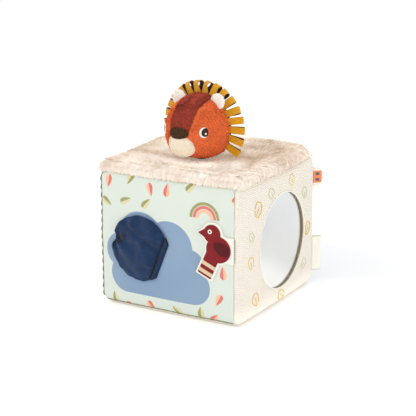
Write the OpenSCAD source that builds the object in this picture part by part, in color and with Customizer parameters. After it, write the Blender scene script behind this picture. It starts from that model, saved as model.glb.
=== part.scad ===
// Soft fabric activity cube with a plush lion head on top, millimetres.
// Z is up, the front print faces -Y, the mirror faces +X, the base centre is the origin.

/* [Cube] */
// Width between the left and right seams
cube_w = 163; // [150:1:240]
// Depth between the front and back seams
cube_d = 162; // [150:1:240]
// Height of the cloth box
cube_h = 143; // [136:1:200]
// Bulge of each side face at its middle
crown = 2.5; // [1:0.5:6]
// Rounding of the box edges
edge_round = 12; // [8:1:18]
// Thickness of cloth and wadding in each panel
skin = 1.8; // [1.2:0.1:3]
// How far the right panel wraps onto the front
front_wrap = 8; // [7:0.5:14]
// Thickness of the piping cord beside the front panel
piping_d = 2.4; // [1.6:0.1:3.6]

/* [Fits] */
// Gap between pieces that are sewn together
sew_gap = 0.1; // [0.05:0.05:0.2]
// Gap between pieces that move past each other
move_gap = 0.4; // [0.3:0.1:0.8]

/* [Fur top] */
// Height of the pile above the cloth box
pile_h = 6; // [5:0.5:12]
// How far the pile hangs over the sides
pile_over = 2.5; // [1.5:0.5:4]
// How far the pile reaches down over the sides
pile_drop = 4; // [2:0.5:6]

/* [Mirror] */
// Diameter of the mirror that shows
mirror_d = 100; // [60:1:104]
// Width of the mirror edge held under the panel
mirror_lap = 5; // [3:0.5:8]
// Thickness of the mirror disc
mirror_t = 2; // [1:0.1:3]
// Thickness of the pad behind the mirror
mirror_pad_t = 3; // [2:0.5:6]
// Thickness of the tape that lines the window
rim_t = 1; // [0.8:0.1:2]
// How far the tape stands out of the panel
rim_out = 0.6; // [0.3:0.1:1.5]
// Mirror centre towards the back
mirror_y = 2; // [-10:0.5:10]
// Mirror centre above the base
mirror_z = 69; // [66:0.5:76]

/* [Flap] */
// Radius of the flap outline
flap_r = 33; // [24:0.5:35]
// Flap centre across the front
flap_x = -29.5; // [-36:0.5:-26]
// Flap centre above the base
flap_z = 66; // [60:0.5:80]
// Lean of the sewn edge from upright
flap_lean = 22; // [0:1:30]
// Distance from the flap centre to its sewn edge
flap_edge = 27; // [22:0.5:29]
// Width of the sewn hem
hem_w = 6; // [4:0.5:8]
// Thickness of the hem
hem_t = 1.9; // [1.5:0.1:2.5]
// Thickness of the lining cloth
lining_t = 0.8; // [0.5:0.1:1.2]
// Thickness of the crinkle film
film_t = 0.3; // [0.2:0.05:0.5]
// Thickness of the face cloth at its edge
face_t = 0.8; // [0.5:0.1:1.5]
// Height of the padded bulge
flap_bulge = 4.5; // [2:0.5:6]

/* [Figure] */
// Thickness of the backing felt
fig_back_t = 1.4; // [1:0.1:2]
// Thickness of each felt layer on it
fig_felt_t = 0.9; // [0.6:0.1:1.5]
// Width of the pale border
fig_border = 2.2; // [1:0.1:3]
// Height of the figure middle above the base
fig_z = 78; // [70:0.5:90]
// Height of the strip sewn in the seam
fig_strip = 26; // [14:1:34]

/* [Tags] */
// Height of the small tag
tag_h = 21; // [14:0.5:26]
// Reach of the small tag
tag_out = 9; // [7:0.5:14]
// Thickness of the small tag
tag_t = 1.6; // [1.2:0.1:2.4]
// Height of the tag middle above the base
tag_z = 117; // [105:0.5:119]
// Height of the label
label_h = 38; // [24:0.5:44]
// Reach of the label
label_out = 9.5; // [8:0.5:16]
// Thickness of the folded label
label_t = 1.8; // [1.5:0.1:2.4]
// Height of the label middle above the base
label_z = 34; // [30:0.5:40]

/* [Head] */
// Radius of the head at the mane seam
head_r = 32; // [28:0.5:38]
// Reach of the face in front of the mane seam
face_reach = 44; // [36:0.5:50]
// Reach of the head behind the mane seam
nape_reach = 18; // [15:0.5:26]
// Mane seam towards the back from the cube centre
seam_y = -16; // [-20:0.5:-10]
// Thickness of the plush
plush = 2.6; // [2.2:0.1:3.5]
// Radius of the muzzle
muzzle_r = 13; // [10:0.5:15]
// Length of the muzzle along its axis
muzzle_half = 15; // [12:0.5:17]
// Drop of the muzzle below the head centre
muzzle_drop = 13; // [13:0.5:18]
// Half width of the nose
nose_half = 10; // [6:0.5:11]
// Radius of the nose
nose_r = 6.5; // [5:0.5:7]
// Radius of the ears
ear_r = 7.5; // [6:0.5:10]
// Thickness of the ears
ear_t = 5; // [3:0.5:7]
// Lean of each ear from upright
ear_angle = 40; // [38:1:50]
// Radius of the sewn eyes
eye_r = 5.2; // [3:0.1:5.6]
// Thickness of the eye stitching
eye_t = 0.6; // [0.4:0.1:1]
// Eye distance from the middle of the face
eye_x = 21.5; // [20:0.5:24]
// Half width of the brow patch at the crown
brow_top = 14; // [10:0.5:16]
// Half width of the brow patch between crown and nose
brow_mid = 12; // [9:0.5:13]
// Half width of the brow patch above the nose
brow_low = 8.5; // [6:0.5:9]
// Radius of the neck
neck_r = 9; // [6:0.5:11]
// Neck axis behind the mane seam
neck_back = 4; // [2:0.5:6]

/* [Rattle] */
// Outer radius of the rattle case
case_r = 12; // [9:0.5:13]
// Wall of the rattle case
case_t = 1.5; // [1:0.1:2]
// Radius of the rattle beads
bead_r = 2.1; // [1:0.1:2.1]

/* [Mane] */
// Width of the ribbon
ribbon_w = 7.2; // [5:0.2:7.4]
// Thickness of the ribbon
ribbon_t = 0.9; // [0.6:0.1:1]
// Angle between neighbouring loops
loop_step = 14.5; // [14:0.1:15]
// Lean of the loops towards the back
loop_lean = 18; // [0:1:24]
// Roundness of the loops at the crown
crown_loop_r = 4.5; // [3.6:0.1:4.6]
// Reach of the loops at the crown to their round part
crown_loop_c = 7.6; // [5.4:0.1:9]
// Roundness of the loops at the sides
side_loop_r = 2.4; // [2:0.1:3]
// Reach of the loops at the sides to their round part
side_loop_c = 12.4; // [9:0.1:13]

/* [Hidden] */
mid_z = cube_h / 2;
bulge_x = (pow(cube_d / 2, 2) + crown * crown) / (2 * crown);
bulge_y = (pow(cube_w / 2, 2) + crown * crown) / (2 * crown);
seam_in = edge_round * (1 - 1 / sqrt(2));
seam_x = cube_w / 2 - front_wrap;
far = 2 * max(cube_w, cube_d);
panel_in = 8;

function front_y(x, z) = cube_d / 2 + crown - (x * x + pow(z - mid_z, 2)) / (2 * bulge_y);
function right_x(y, z) = cube_w / 2 + crown - (y * y + pow(z - mid_z, 2)) / (2 * bulge_x);

// Centres of the edge roundings, set to meet the bulged faces at a slight angle
edge_meet = edge_round - 0.15;
upright_x = right_x(cube_d / 2 - edge_round, mid_z) - edge_meet;
upright_y = front_y(cube_w / 2 - edge_round, mid_z) - edge_meet;
level_x = right_x(0, edge_round) - edge_meet;
level_y = front_y(0, edge_round) - edge_meet;
edge_out = edge_round / sqrt(2);

mirror_r = mirror_d / 2 + mirror_lap;
mirror_off = norm([mirror_y, mirror_z - mid_z]) + mirror_r;
mirror_x = cube_w / 2 + crown - skin - pow(mirror_off, 2) / (2 * bulge_x) - 2 * sew_gap;
pad_x = mirror_x - mirror_t - sew_gap;
pocket_x = pad_x - mirror_pad_t - sew_gap;
window_x = right_x(mirror_y, mirror_z + mirror_d / 2);

flap_lining_0 = move_gap;
flap_film_0 = flap_lining_0 + lining_t + sew_gap;
flap_face_0 = flap_film_0 + film_t + sew_gap;
flap_hinge = flap_edge - hem_w;
bulge_edge = 0.6;
bulge_run = (flap_r + flap_hinge) / 2 - bulge_edge;
bulge_r = (bulge_run * bulge_run + flap_bulge * flap_bulge) / (2 * flap_bulge);
bulge_u = (flap_hinge - flap_r) / 2;

fig_0 = move_gap;
fig_1 = fig_0 + fig_back_t;
fig_2 = fig_1 + sew_gap + fig_felt_t;
fig_3 = fig_2 + sew_gap + fig_felt_t;
fig_axis_y = front_y(seam_x, mid_z) + move_gap + fig_back_t / 2;
fig_x = seam_x - 15;

head_z = cube_h + pile_h + head_r + move_gap;
case_y = seam_y - 6;
neck_y = seam_y + neck_back;
tab_d = plush - 0.6;
muzzle_y = seam_y - face_reach * sqrt(1 - pow(muzzle_drop / head_r, 2)) + 8;
nose_y = seam_y - face_reach + 2;
nose_z = head_z - 1.5;
eye_drop = 0.5;
eye_z = head_z - eye_drop;
eye_y = seam_y - face_reach * sqrt(1 - (pow(eye_x, 2) + pow(eye_drop, 2)) / pow(head_r, 2));
bead_run = case_r - case_t - bead_r - sew_gap;

loop_count = 18;
loop_half = loop_count / 2;
function loop_angle(i) = (i < loop_half ? i - loop_half : i - loop_half + 1) * loop_step
    + (i < loop_half ? loop_step / 2 : -loop_step / 2);
function loop_mix(i) = min(1, abs(loop_angle(i)) / 80);
function loop_r(i) = crown_loop_r + (side_loop_r - crown_loop_r) * loop_mix(i);
function loop_c(i) = crown_loop_c + (side_loop_c - crown_loop_c) * loop_mix(i);

// Each side: how it turns from the top, how far out it lies and its bulge

FRONT = [[90, 0, 0], cube_d / 2, bulge_y];
BACK = [[-90, 0, 0], cube_d / 2, bulge_y];
LEFT = [[0, -90, 0], cube_w / 2, bulge_x];
RIGHT = [[0, 90, 0], cube_w / 2, bulge_x];

module dome(side, grow) {
    translate([0, 0, mid_z])
        rotate(side[0])
            translate([0, 0, side[1] + crown])
                rotate_extrude($fn = 120)
                    intersection() {
                        translate([0, -side[2]])
                            circle(side[2] + grow, $fn = 1440);
                        translate([0, -far])
                            square([far, far + grow]);
                    }
}

// Edge roundings: upright edges, and level edges along X or along Y

module upright_edges(grow) {
    linear_extrude(2 * far, center = true) {
        square([2 * far, 2 * upright_y], center = true);
        square([2 * upright_x, 2 * far], center = true);
        for (x = [-upright_x, upright_x], y = [-upright_y, upright_y])
            translate([x, y])
                circle(edge_round + grow, $fn = 96);
    }
}

module level_profile(reach, grow) {
    linear_extrude(2 * far, center = true) {
        translate([-far, edge_round])
            square([2 * far, cube_h - 2 * edge_round]);
        translate([-reach, -grow])
            square([2 * reach, cube_h + 2 * grow]);
        for (x = [-reach, reach], z = [edge_round, cube_h - edge_round])
            translate([x, z])
                circle(edge_round + grow, $fn = 96);
    }
}

module edges_along_x(grow) {
    rotate([90, 0, 90])
        level_profile(level_y, grow);
}

module edges_along_y(grow) {
    rotate([90, 0, 0])
        level_profile(level_x, grow);
}

module side_form(side, grow) {
    intersection() {
        dome(side, grow);
        upright_edges(grow);
        if (side == FRONT || side == BACK)
            edges_along_x(grow);
        else
            edges_along_y(grow);
    }
}

// Soft box: flat top and base, crowned sides and rounded edges

module rounded_block(grow) {
    intersection() {
        upright_edges(grow);
        edges_along_x(grow);
        edges_along_y(grow);
    }
}

module soft_box(grow) {
    intersection() {
        rounded_block(grow);
        dome(FRONT, grow);
        dome(BACK, grow);
        dome(LEFT, grow);
        dome(RIGHT, grow);
    }
}

// Cloth that follows the bulge of the front, between two heights above it

module front_layer(low, high) {
    difference() {
        intersection() {
            dome(FRONT, high);
            from_front()
                children();
        }
        dome(FRONT, low);
    }
}

// Outline drawn on the front (x across, y up), carried through the front half

module from_front() {
    rotate([90, 0, 0])
        linear_extrude(far)
            children();
}

module slab(low, high) {
    translate([-far / 2, -far / 2, low])
        cube([far, far, high - low]);
}

module side_sector(points) {
    translate([0, 0, seam_in])
        linear_extrude(cube_h - 2 * seam_in)
            polygon(points);
}

// Piping cord along the left, lower and upper edges of the front panel

piping_x = upright_x + edge_out;
piping_y = (upright_y + level_y) / 2 + edge_out;
piping_turn = edge_round * 0.8;
groove_turn = 100;

module piping_path(grow) {
    radius = piping_d / 2 + grow;
    span_z = cube_h - 2 * seam_in;
    span_x = piping_x + seam_x - piping_turn - piping_d / 2 + grow;
    translate([-piping_x, -piping_y, seam_in + piping_turn])
        cylinder(r = radius, h = span_z - 2 * piping_turn, $fn = 32);
    for (top = [0, 1])
        translate([-piping_x + piping_turn, -piping_y, seam_in + top * span_z])
            rotate([0, 90, 0])
                rotate(grow > 0 ? groove_turn : 0)
                    cylinder(r = radius, h = span_x, $fn = 32);
    translate([-piping_x + piping_turn, -piping_y, seam_in + piping_turn])
        rotate([90, 180, 0])
            rotate_extrude(angle = 90, $fn = 96)
                translate([piping_turn, 0])
                    circle(radius, $fn = 32);
    translate([-piping_x + piping_turn, -piping_y, seam_in + span_z - piping_turn])
        rotate([90, -90, 0])
            rotate_extrude(angle = 90, $fn = 96)
                translate([piping_turn, 0])
                    circle(radius, $fn = 32);
}

module front_piping() {
    color("olivedrab")
        piping_path(0);
}

// Straight seat of the cord in the edge of the base or the top

module level_groove(height) {
    translate([-piping_x - piping_d, -piping_y, height])
        rotate([0, 90, 0])
            rotate(groove_turn)
                cylinder(r = piping_d / 2 + sew_gap, h = piping_x + seam_x + piping_d / 2 + sew_gap, $fn = 32);
}

// Panels of the cube

module foam_core() {
    color("lightyellow")
        difference() {
            soft_box(-skin - sew_gap);
            translate([pocket_x, mirror_y, mirror_z])
                rotate([0, 90, 0])
                    cylinder(r = mirror_r + sew_gap, h = far, $fn = 120);
            piping_path(sew_gap);
        }
}

module side_panel(side, points) {
    difference() {
        intersection() {
            side_form(side, 0);
            side_sector(points);
        }
        side_form(side, -skin);
    }
}

module front_panel() {
    color("honeydew")
        difference() {
            side_panel(FRONT, [
                [-upright_x - far, -upright_y - far],
                [seam_x, -upright_y - far],
                [seam_x, -upright_y + panel_in],
                [-upright_x + panel_in, -upright_y + panel_in]
            ]);
            piping_path(sew_gap);
        }
}

module right_panel() {
    color("oldlace")
        difference() {
            side_panel(RIGHT, [
                [seam_x, -upright_y - far],
                [upright_x + far, -upright_y - far],
                [upright_x + far, upright_y + far],
                [upright_x - panel_in, upright_y - panel_in],
                [upright_x - panel_in, -upright_y + panel_in],
                [seam_x, -upright_y + panel_in]
            ]);
            translate([0, mirror_y, mirror_z])
                rotate([0, 90, 0])
                    cylinder(d = mirror_d, h = far, $fn = 120);
        }
}

module back_panel() {
    color("lightsteelblue")
        side_panel(BACK, [
            [upright_x + far, upright_y + far],
            [-upright_x - far, upright_y + far],
            [-upright_x + panel_in, upright_y - panel_in],
            [upright_x - panel_in, upright_y - panel_in]
        ]);
}

module left_panel() {
    color("oldlace")
        difference() {
            side_panel(LEFT, [
                [-upright_x - far, upright_y + far],
                [-upright_x - far, -upright_y - far],
                [-upright_x + panel_in, -upright_y + panel_in],
                [-upright_x + panel_in, upright_y - panel_in]
            ]);
            piping_path(sew_gap);
        }
}

module level_panel(low, high) {
    difference() {
        intersection() {
            rounded_block(0);
            slab(low, high);
        }
        rounded_block(-skin);
    }
}

module bottom_panel() {
    color("oldlace")
        difference() {
            level_panel(-skin, seam_in);
            level_groove(seam_in);
        }
}

module top_backing() {
    color("wheat")
        difference() {
            level_panel(cube_h - seam_in, cube_h + skin);
            level_groove(cube_h - seam_in);
        }
}

module top_pile() {
    color("bisque")
        difference() {
            intersection() {
                translate([0, 0, pile_h - pile_over])
                    rounded_block(pile_over);
                slab(cube_h - pile_drop, cube_h + pile_h);
            }
            rounded_block(sew_gap);
            translate([0, neck_y, 0])
                cylinder(r = neck_r + move_gap, h = far, $fn = 64);
            piping_path(sew_gap);
        }
}

// Mirror in its window

module mirror_disc() {
    color("silver")
        translate([mirror_x - mirror_t, mirror_y, mirror_z])
            rotate([0, 90, 0])
                cylinder(r = mirror_r, h = mirror_t, $fn = 120);
}

module mirror_pad() {
    color("lightgrey")
        translate([pad_x - mirror_pad_t, mirror_y, mirror_z])
            rotate([0, 90, 0])
                cylinder(r = mirror_r - sew_gap, h = mirror_pad_t, $fn = 120);
}

module mirror_rim() {
    rim_h = window_x + rim_out - mirror_x - sew_gap;
    color("tan")
        translate([mirror_x + sew_gap, mirror_y, mirror_z])
            rotate([0, 90, 0])
                rotate_extrude($fn = 120)
                    translate([mirror_d / 2 - sew_gap - rim_t, 0]) {
                        square([rim_t, rim_h - rim_t / 2]);
                        translate([rim_t / 2, rim_h - rim_t / 2])
                            circle(rim_t / 2, $fn = 24);
                    }
}

// Flap on the front; its own u runs from the middle towards the sewn edge

module flap_outline(from_u, to_u) {
    rotate(-flap_lean)
        intersection() {
            circle(flap_r, $fn = 120);
            translate([from_u, -flap_r])
                square([to_u - from_u, 2 * flap_r]);
        }
}

module flap_cut(from_u, to_u) {
    translate([flap_x, flap_z])
        flap_outline(from_u, to_u);
}

module flap_leaf() {
    flap_outline(-flap_r, flap_hinge - move_gap);
}

module flat_on_flap(height) {
    translate([0, bulge_y - cube_d / 2 - crown, mid_z])
        rotate([90 - asin((flap_z - mid_z) / bulge_y), 0, asin(flap_x / bulge_y)])
            translate([0, 0, bulge_y + height])
                children();
}

module flap_hem() {
    color("midnightblue")
        front_layer(sew_gap, hem_t)
            flap_cut(flap_hinge, flap_edge);
}

module flap_layer(low, high) {
    front_layer(low, high)
        flap_cut(-flap_r, flap_hinge - move_gap);
}

module flap_lining() {
    color("slategray")
        flap_layer(flap_lining_0, flap_lining_0 + lining_t);
}

module flap_film() {
    color("whitesmoke")
        flap_layer(flap_film_0, flap_film_0 + film_t);
}

module flap_face() {
    color("midnightblue")
        flat_on_flap(flap_face_0) {
            linear_extrude(face_t)
                flap_leaf();
            rotate(-flap_lean)
                translate([bulge_u, 0, 0])
                    rotate_extrude($fn = 120)
                        intersection() {
                            translate([0, face_t + flap_bulge - bulge_r])
                                circle(bulge_r, $fn = 720);
                            translate([0, face_t / 2])
                                square([flap_r, flap_bulge + face_t]);
                        }
        }
}

// Small felt bird sewn in the front seam

module bird_shape(edge) {
    translate([fig_x, fig_z]) {
        circle(13 + edge, $fn = 64);
        translate([-7, 15])
            circle(9 + edge, $fn = 64);
        polygon([[-15, 19 + edge], [-22 - edge, 15], [-15, 11 - edge]]);
        translate([-4, -2])
            rotate(-24)
                translate([-7.5 - edge, -28 - edge])
                    square([15 + 2 * edge, 28]);
    }
}

module seam_strip() {
    translate([fig_x, fig_z - fig_strip / 2])
        square([seam_x - fig_x, fig_strip]);
}

module figure_back() {
    color("ivory") {
        front_layer(fig_0, fig_1)
            intersection() {
                union() {
                    bird_shape(fig_border);
                    seam_strip();
                }
                translate([-far, 0])
                    square([far + seam_x, far]);
            }
        translate([seam_x, -fig_axis_y, fig_z - fig_strip / 2])
            cylinder(d = fig_back_t, h = fig_strip, $fn = 24);
    }
}

module tail_bands(edge) {
    translate([fig_x, fig_z])
        translate([-4, -2])
            rotate(-24)
                for (band = [0, 1])
                    translate([-7.5 - edge, -26 + 8 * band - edge])
                        square([15 + 2 * edge, 4 + 2 * edge]);
}

module wing_shape(edge) {
    translate([fig_x + 4, fig_z + 1])
        rotate(-30)
            intersection() {
                translate([0, 5])
                    circle(11 + edge, $fn = 64);
                translate([0, -5])
                    circle(11 + edge, $fn = 64);
            }
}

module figure_body() {
    color("firebrick")
        front_layer(fig_1 + sew_gap, fig_2)
            difference() {
                bird_shape(0);
                tail_bands(sew_gap);
            }
}

module figure_wing() {
    color("maroon")
        front_layer(fig_2 + sew_gap, fig_3)
            wing_shape(0);
}

module figure_tail() {
    color("wheat")
        front_layer(fig_1 + sew_gap, fig_2)
            intersection() {
                tail_bands(0);
                bird_shape(0);
            }
}

// Tag and folded label in the back right seam

module at_corner(reach, height) {
    translate([upright_x, upright_y, height])
        rotate([0, 0, 45])
            translate([edge_round + reach, 0, 0])
                children();
}

module tag_shape() {
    tag_round = tag_h / 2 - 3;
    translate([0, -tag_h / 2])
        square([tag_out - tag_round, tag_h]);
    for (side = [-1, 1])
        translate([tag_out - tag_round, side * 3])
            circle(tag_round, $fn = 64);
    translate([0, -3])
        square([tag_out, 6]);
}

module seam_tag() {
    color("peachpuff")
        at_corner(move_gap + tag_t / 2, tag_z) {
            rotate([90, 0, 0])
                linear_extrude(tag_t, center = true)
                    intersection() {
                        tag_shape();
                        translate([0, -tag_h / 2])
                            square([tag_out, tag_h]);
                    }
            translate([0, 0, -tag_h / 2])
                cylinder(d = tag_t, h = tag_h, $fn = 24);
        }
}

module seam_label() {
    fold = label_t / 2;
    slit = label_t / 4;
    color("cornsilk")
        at_corner(move_gap + fold, label_z - label_h / 2)
            linear_extrude(label_h)
                difference() {
                    union() {
                        circle(fold, $fn = 32);
                        translate([label_out - fold, 0])
                            circle(fold, $fn = 32);
                        translate([0, -fold])
                            square([label_out - fold, label_t]);
                    }
                    translate([fold, -slit / 2])
                        square([label_out - 2.5 * fold, slit]);
                }
}

// Lion head: an egg lying along Y, split at the mane seam

module egg_half(radius, reach) {
    intersection() {
        scale([radius, reach])
            circle(1, $fn = 96);
        square(far);
    }
}

module head_form(grow) {
    translate([0, seam_y, head_z])
        rotate([90, 0, 0])
            rotate_extrude($fn = 96) {
                egg_half(head_r + grow, face_reach + grow);
                mirror([0, 1])
                    egg_half(head_r + grow, nape_reach + grow);
            }
}

module face_side() {
    translate([-far, seam_y - far, 0])
        cube([2 * far, far, far]);
}

module ball_egg(radius, half) {
    rotate_extrude($fn = 64)
        intersection() {
            scale([radius, half])
                circle(1, $fn = 64);
            translate([0, -half])
                square([radius, 2 * half]);
        }
}

module muzzle_form(grow) {
    translate([0, muzzle_y, head_z - muzzle_drop])
        rotate([90, 0, 0])
            ball_egg(muzzle_r + grow, muzzle_half + grow);
}

module nose_form() {
    translate([0, nose_y, nose_z])
        rotate([0, 90, 0])
            ball_egg(nose_r, nose_half);
}

module face_shell() {
    intersection() {
        difference() {
            head_form(0);
            head_form(-plush);
        }
        face_side();
    }
}

module brow_shape(edge) {
    polygon([
        [-brow_top - edge, head_z + head_r + 5],
        [-brow_top - edge, head_z + head_r - 4],
        [-brow_mid - edge, head_z + head_r / 2],
        [-brow_mid - edge, head_z + head_r / 4],
        [-brow_low - edge, nose_z - edge],
        [brow_low + edge, nose_z - edge],
        [brow_mid + edge, head_z + head_r / 4],
        [brow_mid + edge, head_z + head_r / 2],
        [brow_top + edge, head_z + head_r - 4],
        [brow_top + edge, head_z + head_r + 5]
    ]);
}

module brow_patch() {
    color("indianred")
        intersection() {
            face_shell();
            from_front()
                brow_shape(0);
        }
}

module cheek(side) {
    difference() {
        intersection() {
            face_shell();
            translate([side < 0 ? -far - sew_gap / 2 : sew_gap / 2, -far, 0])
                cube([far, 2 * far, 2 * far]);
        }
        from_front()
            brow_shape(sew_gap / 2);
    }
}

module left_cheek() {
    color("coral")
        cheek(1);
}

module right_cheek() {
    color("coral")
        cheek(-1);
}

module tab_pocket(i) {
    translate([0, seam_y, head_z])
        rotate([0, loop_angle(i) - 90, 0])
            translate([head_r - tab_d - sew_gap, -sew_gap, -ribbon_w / 2 - sew_gap])
                cube([far, 2 * ribbon_t + 3 * sew_gap, ribbon_w + 2 * sew_gap]);
}

module head_back() {
    color("maroon")
        difference() {
            head_form(0);
            head_form(-plush);
            translate([0, sew_gap, 0])
                face_side();
            for (i = [0 : loop_count - 1])
                tab_pocket(i);
        }
}

module muzzle() {
    color("antiquewhite")
        difference() {
            muzzle_form(0);
            head_form(sew_gap);
        }
}

module nose() {
    color("saddlebrown")
        difference() {
            nose_form();
            head_form(sew_gap);
            muzzle_form(sew_gap);
        }
}

module ear(side) {
    lens_r = (ear_r * ear_r + ear_t * ear_t / 4) / ear_t;
    difference() {
        translate([0, seam_y - 6, head_z])
            rotate([0, side * ear_angle, 0])
                translate([0, 0, head_r + 2])
                    rotate([90, 0, 0])
                        intersection() {
                            translate([0, 0, lens_r - ear_t / 2])
                                sphere(lens_r, $fn = 96);
                            translate([0, 0, ear_t / 2 - lens_r])
                                sphere(lens_r, $fn = 96);
                        }
        head_form(sew_gap);
    }
}

module left_ear() {
    color("antiquewhite")
        ear(1);
}

module right_ear() {
    color("antiquewhite")
        ear(-1);
}

module eye(side) {
    tilt = atan2(eye_x * pow(face_reach / head_r, 2), -(eye_y - seam_y));
    intersection() {
        difference() {
            head_form(eye_t + sew_gap);
            head_form(sew_gap);
        }
        translate([side * eye_x, eye_y, eye_z])
            rotate([90, 0, side * tilt])
                cylinder(r = eye_r, h = 16, center = true, $fn = 48);
    }
}

module left_eye() {
    color("saddlebrown")
        eye(1);
}

module right_eye() {
    color("saddlebrown")
        eye(-1);
}

// Filling and rattle inside the head

module case_ball(radius) {
    translate([0, case_y, head_z])
        sphere(radius, $fn = 64);
}

module front_of_case() {
    translate([-far, case_y - far, 0])
        cube([2 * far, far - sew_gap / 2, 2 * far]);
}

module back_of_case() {
    translate([-far, case_y + sew_gap / 2, 0])
        cube([2 * far, far, 2 * far]);
}

module stuffing() {
    difference() {
        head_form(-plush - sew_gap);
        case_ball(case_r + sew_gap);
    }
}

module stuffing_front() {
    color("snow")
        intersection() {
            stuffing();
            front_of_case();
        }
}

module stuffing_back() {
    color("snow")
        intersection() {
            stuffing();
            back_of_case();
        }
}

module rattle_case() {
    difference() {
        case_ball(case_r);
        case_ball(case_r - case_t);
    }
}

module rattle_case_front() {
    color("gold")
        intersection() {
            rattle_case();
            front_of_case();
        }
}

module rattle_case_back() {
    color("gold")
        intersection() {
            rattle_case();
            back_of_case();
        }
}

module rattle_beads() {
    color("orangered")
        translate([0, case_y, head_z]) {
            translate([0, 0, -bead_run])
                sphere(bead_r, $fn = 32);
            for (turn = [0 : 72 : 288])
                rotate([0, 0, turn])
                    rotate([32, 0, 0])
                        translate([0, 0, -bead_run])
                            sphere(bead_r, $fn = 32);
        }
}

module neck_collar() {
    color("maroon")
        translate([0, neck_y, cube_h + move_gap])
            cylinder(r = neck_r, h = pile_h - move_gap, $fn = 64);
}

// One ribbon loop: a teardrop on a tab that is sewn into the mane seam

module teardrop(centre, radius, lean) {
    leg = radius * 0.985;
    translate([centre, 0])
        circle(radius, $fn = 64);
    polygon([
        [centre - leg * sin(lean), leg * cos(lean)],
        [centre - leg / sin(lean), 0],
        [centre - leg * sin(lean), -leg * cos(lean)]
    ]);
}

module loop_shape(centre, radius) {
    lean = asin((radius - ribbon_t) / (centre - 1));
    intersection() {
        rotate(loop_lean)
            difference() {
                teardrop(centre, radius, lean);
                teardrop(centre, radius - ribbon_t, lean);
            }
        translate([sew_gap, -far])
            square([far, 2 * far]);
    }
    translate([-tab_d, -ribbon_t])
        square([tab_d + 0.8, 2 * ribbon_t]);
}

module mane_loop(i) {
    color("goldenrod")
        translate([0, seam_y + ribbon_t + sew_gap, head_z])
            rotate([0, loop_angle(i) - 90, 0])
                translate([head_r, 0, 0])
                    linear_extrude(ribbon_w, center = true)
                        loop_shape(loop_c(i), loop_r(i));
}

foam_core();
front_panel();
right_panel();
back_panel();
left_panel();
bottom_panel();
top_backing();
top_pile();
front_piping();
mirror_disc();
mirror_pad();
mirror_rim();
flap_hem();
flap_lining();
flap_film();
flap_face();
figure_back();
figure_body();
figure_wing();
figure_tail();
seam_tag();
seam_label();
neck_collar();
head_back();
brow_patch();
left_cheek();
right_cheek();
muzzle();
nose();
left_ear();
right_ear();
left_eye();
right_eye();
stuffing_front();
stuffing_back();
rattle_case_front();
rattle_case_back();
rattle_beads();
mane_loop(0);  // mane_loop_01
mane_loop(1);  // mane_loop_02
mane_loop(2);  // mane_loop_03
mane_loop(3);  // mane_loop_04
mane_loop(4);  // mane_loop_05
mane_loop(5);  // mane_loop_06
mane_loop(6);  // mane_loop_07
mane_loop(7);  // mane_loop_08
mane_loop(8);  // mane_loop_09
mane_loop(9);  // mane_loop_10
mane_loop(10);  // mane_loop_11
mane_loop(11);  // mane_loop_12
mane_loop(12);  // mane_loop_13
mane_loop(13);  // mane_loop_14
mane_loop(14);  // mane_loop_15
mane_loop(15);  // mane_loop_16
mane_loop(16);  // mane_loop_17
mane_loop(17);  // mane_loop_18
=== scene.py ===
from math import asin, atan2, cos, degrees, exp, hypot, pi, radians, sin, sqrt

import bmesh
import bpy
import numpy as np
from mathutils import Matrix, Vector, noise


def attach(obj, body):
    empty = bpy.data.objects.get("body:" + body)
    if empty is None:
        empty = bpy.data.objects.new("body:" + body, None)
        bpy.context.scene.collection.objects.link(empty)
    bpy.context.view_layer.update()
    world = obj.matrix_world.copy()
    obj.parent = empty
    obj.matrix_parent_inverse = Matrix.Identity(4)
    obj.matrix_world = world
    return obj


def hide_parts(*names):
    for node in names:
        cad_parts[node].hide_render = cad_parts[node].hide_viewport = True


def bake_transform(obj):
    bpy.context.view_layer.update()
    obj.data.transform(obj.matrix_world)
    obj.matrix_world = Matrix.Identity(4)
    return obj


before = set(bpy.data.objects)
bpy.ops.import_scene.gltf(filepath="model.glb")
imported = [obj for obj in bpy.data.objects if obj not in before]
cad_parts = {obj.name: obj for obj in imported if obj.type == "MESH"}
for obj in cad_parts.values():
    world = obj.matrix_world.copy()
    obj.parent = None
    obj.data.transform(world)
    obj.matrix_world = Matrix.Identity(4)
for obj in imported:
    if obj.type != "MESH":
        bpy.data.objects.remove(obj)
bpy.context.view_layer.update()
mm = 0.001
weldGap = 0.02 * mm
square = ((-1, -1), (1, -1), (1, 1), (-1, 1))
dice = np.random.default_rng(11)
upward = np.array([0, 0, 1])


def wired(kind, flip=False):  # a method that adds one math node
    def work(self, other=None):
        pair = (other, self) if flip else (self, other)
        inputs = {i: v for i, v in enumerate(pair) if v is not None}
        return self.look.node("ShaderNodeMath", {"operation": kind}, inputs)

    return work


class Wire:  # a node socket that takes plain arithmetic
    def __init__(self, look, socket):
        self.look, self.socket = look, socket

    __add__, __sub__, __rsub__ = wired("ADD"), wired("SUBTRACT"), wired("SUBTRACT", True)
    __mul__, __truediv__, __pow__ = wired("MULTIPLY"), wired("DIVIDE"), wired("POWER")
    __gt__, __lt__, __abs__ = wired("GREATER_THAN"), wired("LESS_THAN"), wired("ABSOLUTE")
    least, most, wave = wired("MINIMUM"), wired("MAXIMUM"), wired("SINE")


def tint(r, g, b):  # screen colour 0 to 255 as the shader's linear colour
    shares = [v / 255 for v in (r, g, b)]
    return tuple(v / 12.92 if v < 11 / 255 else ((v + 0.055) / 1.055) ** 2.4 for v in shares) + (1.0,)


def shadeOf(colour, share):
    return tuple(v * share for v in colour[:3]) + (1.0,)


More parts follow.
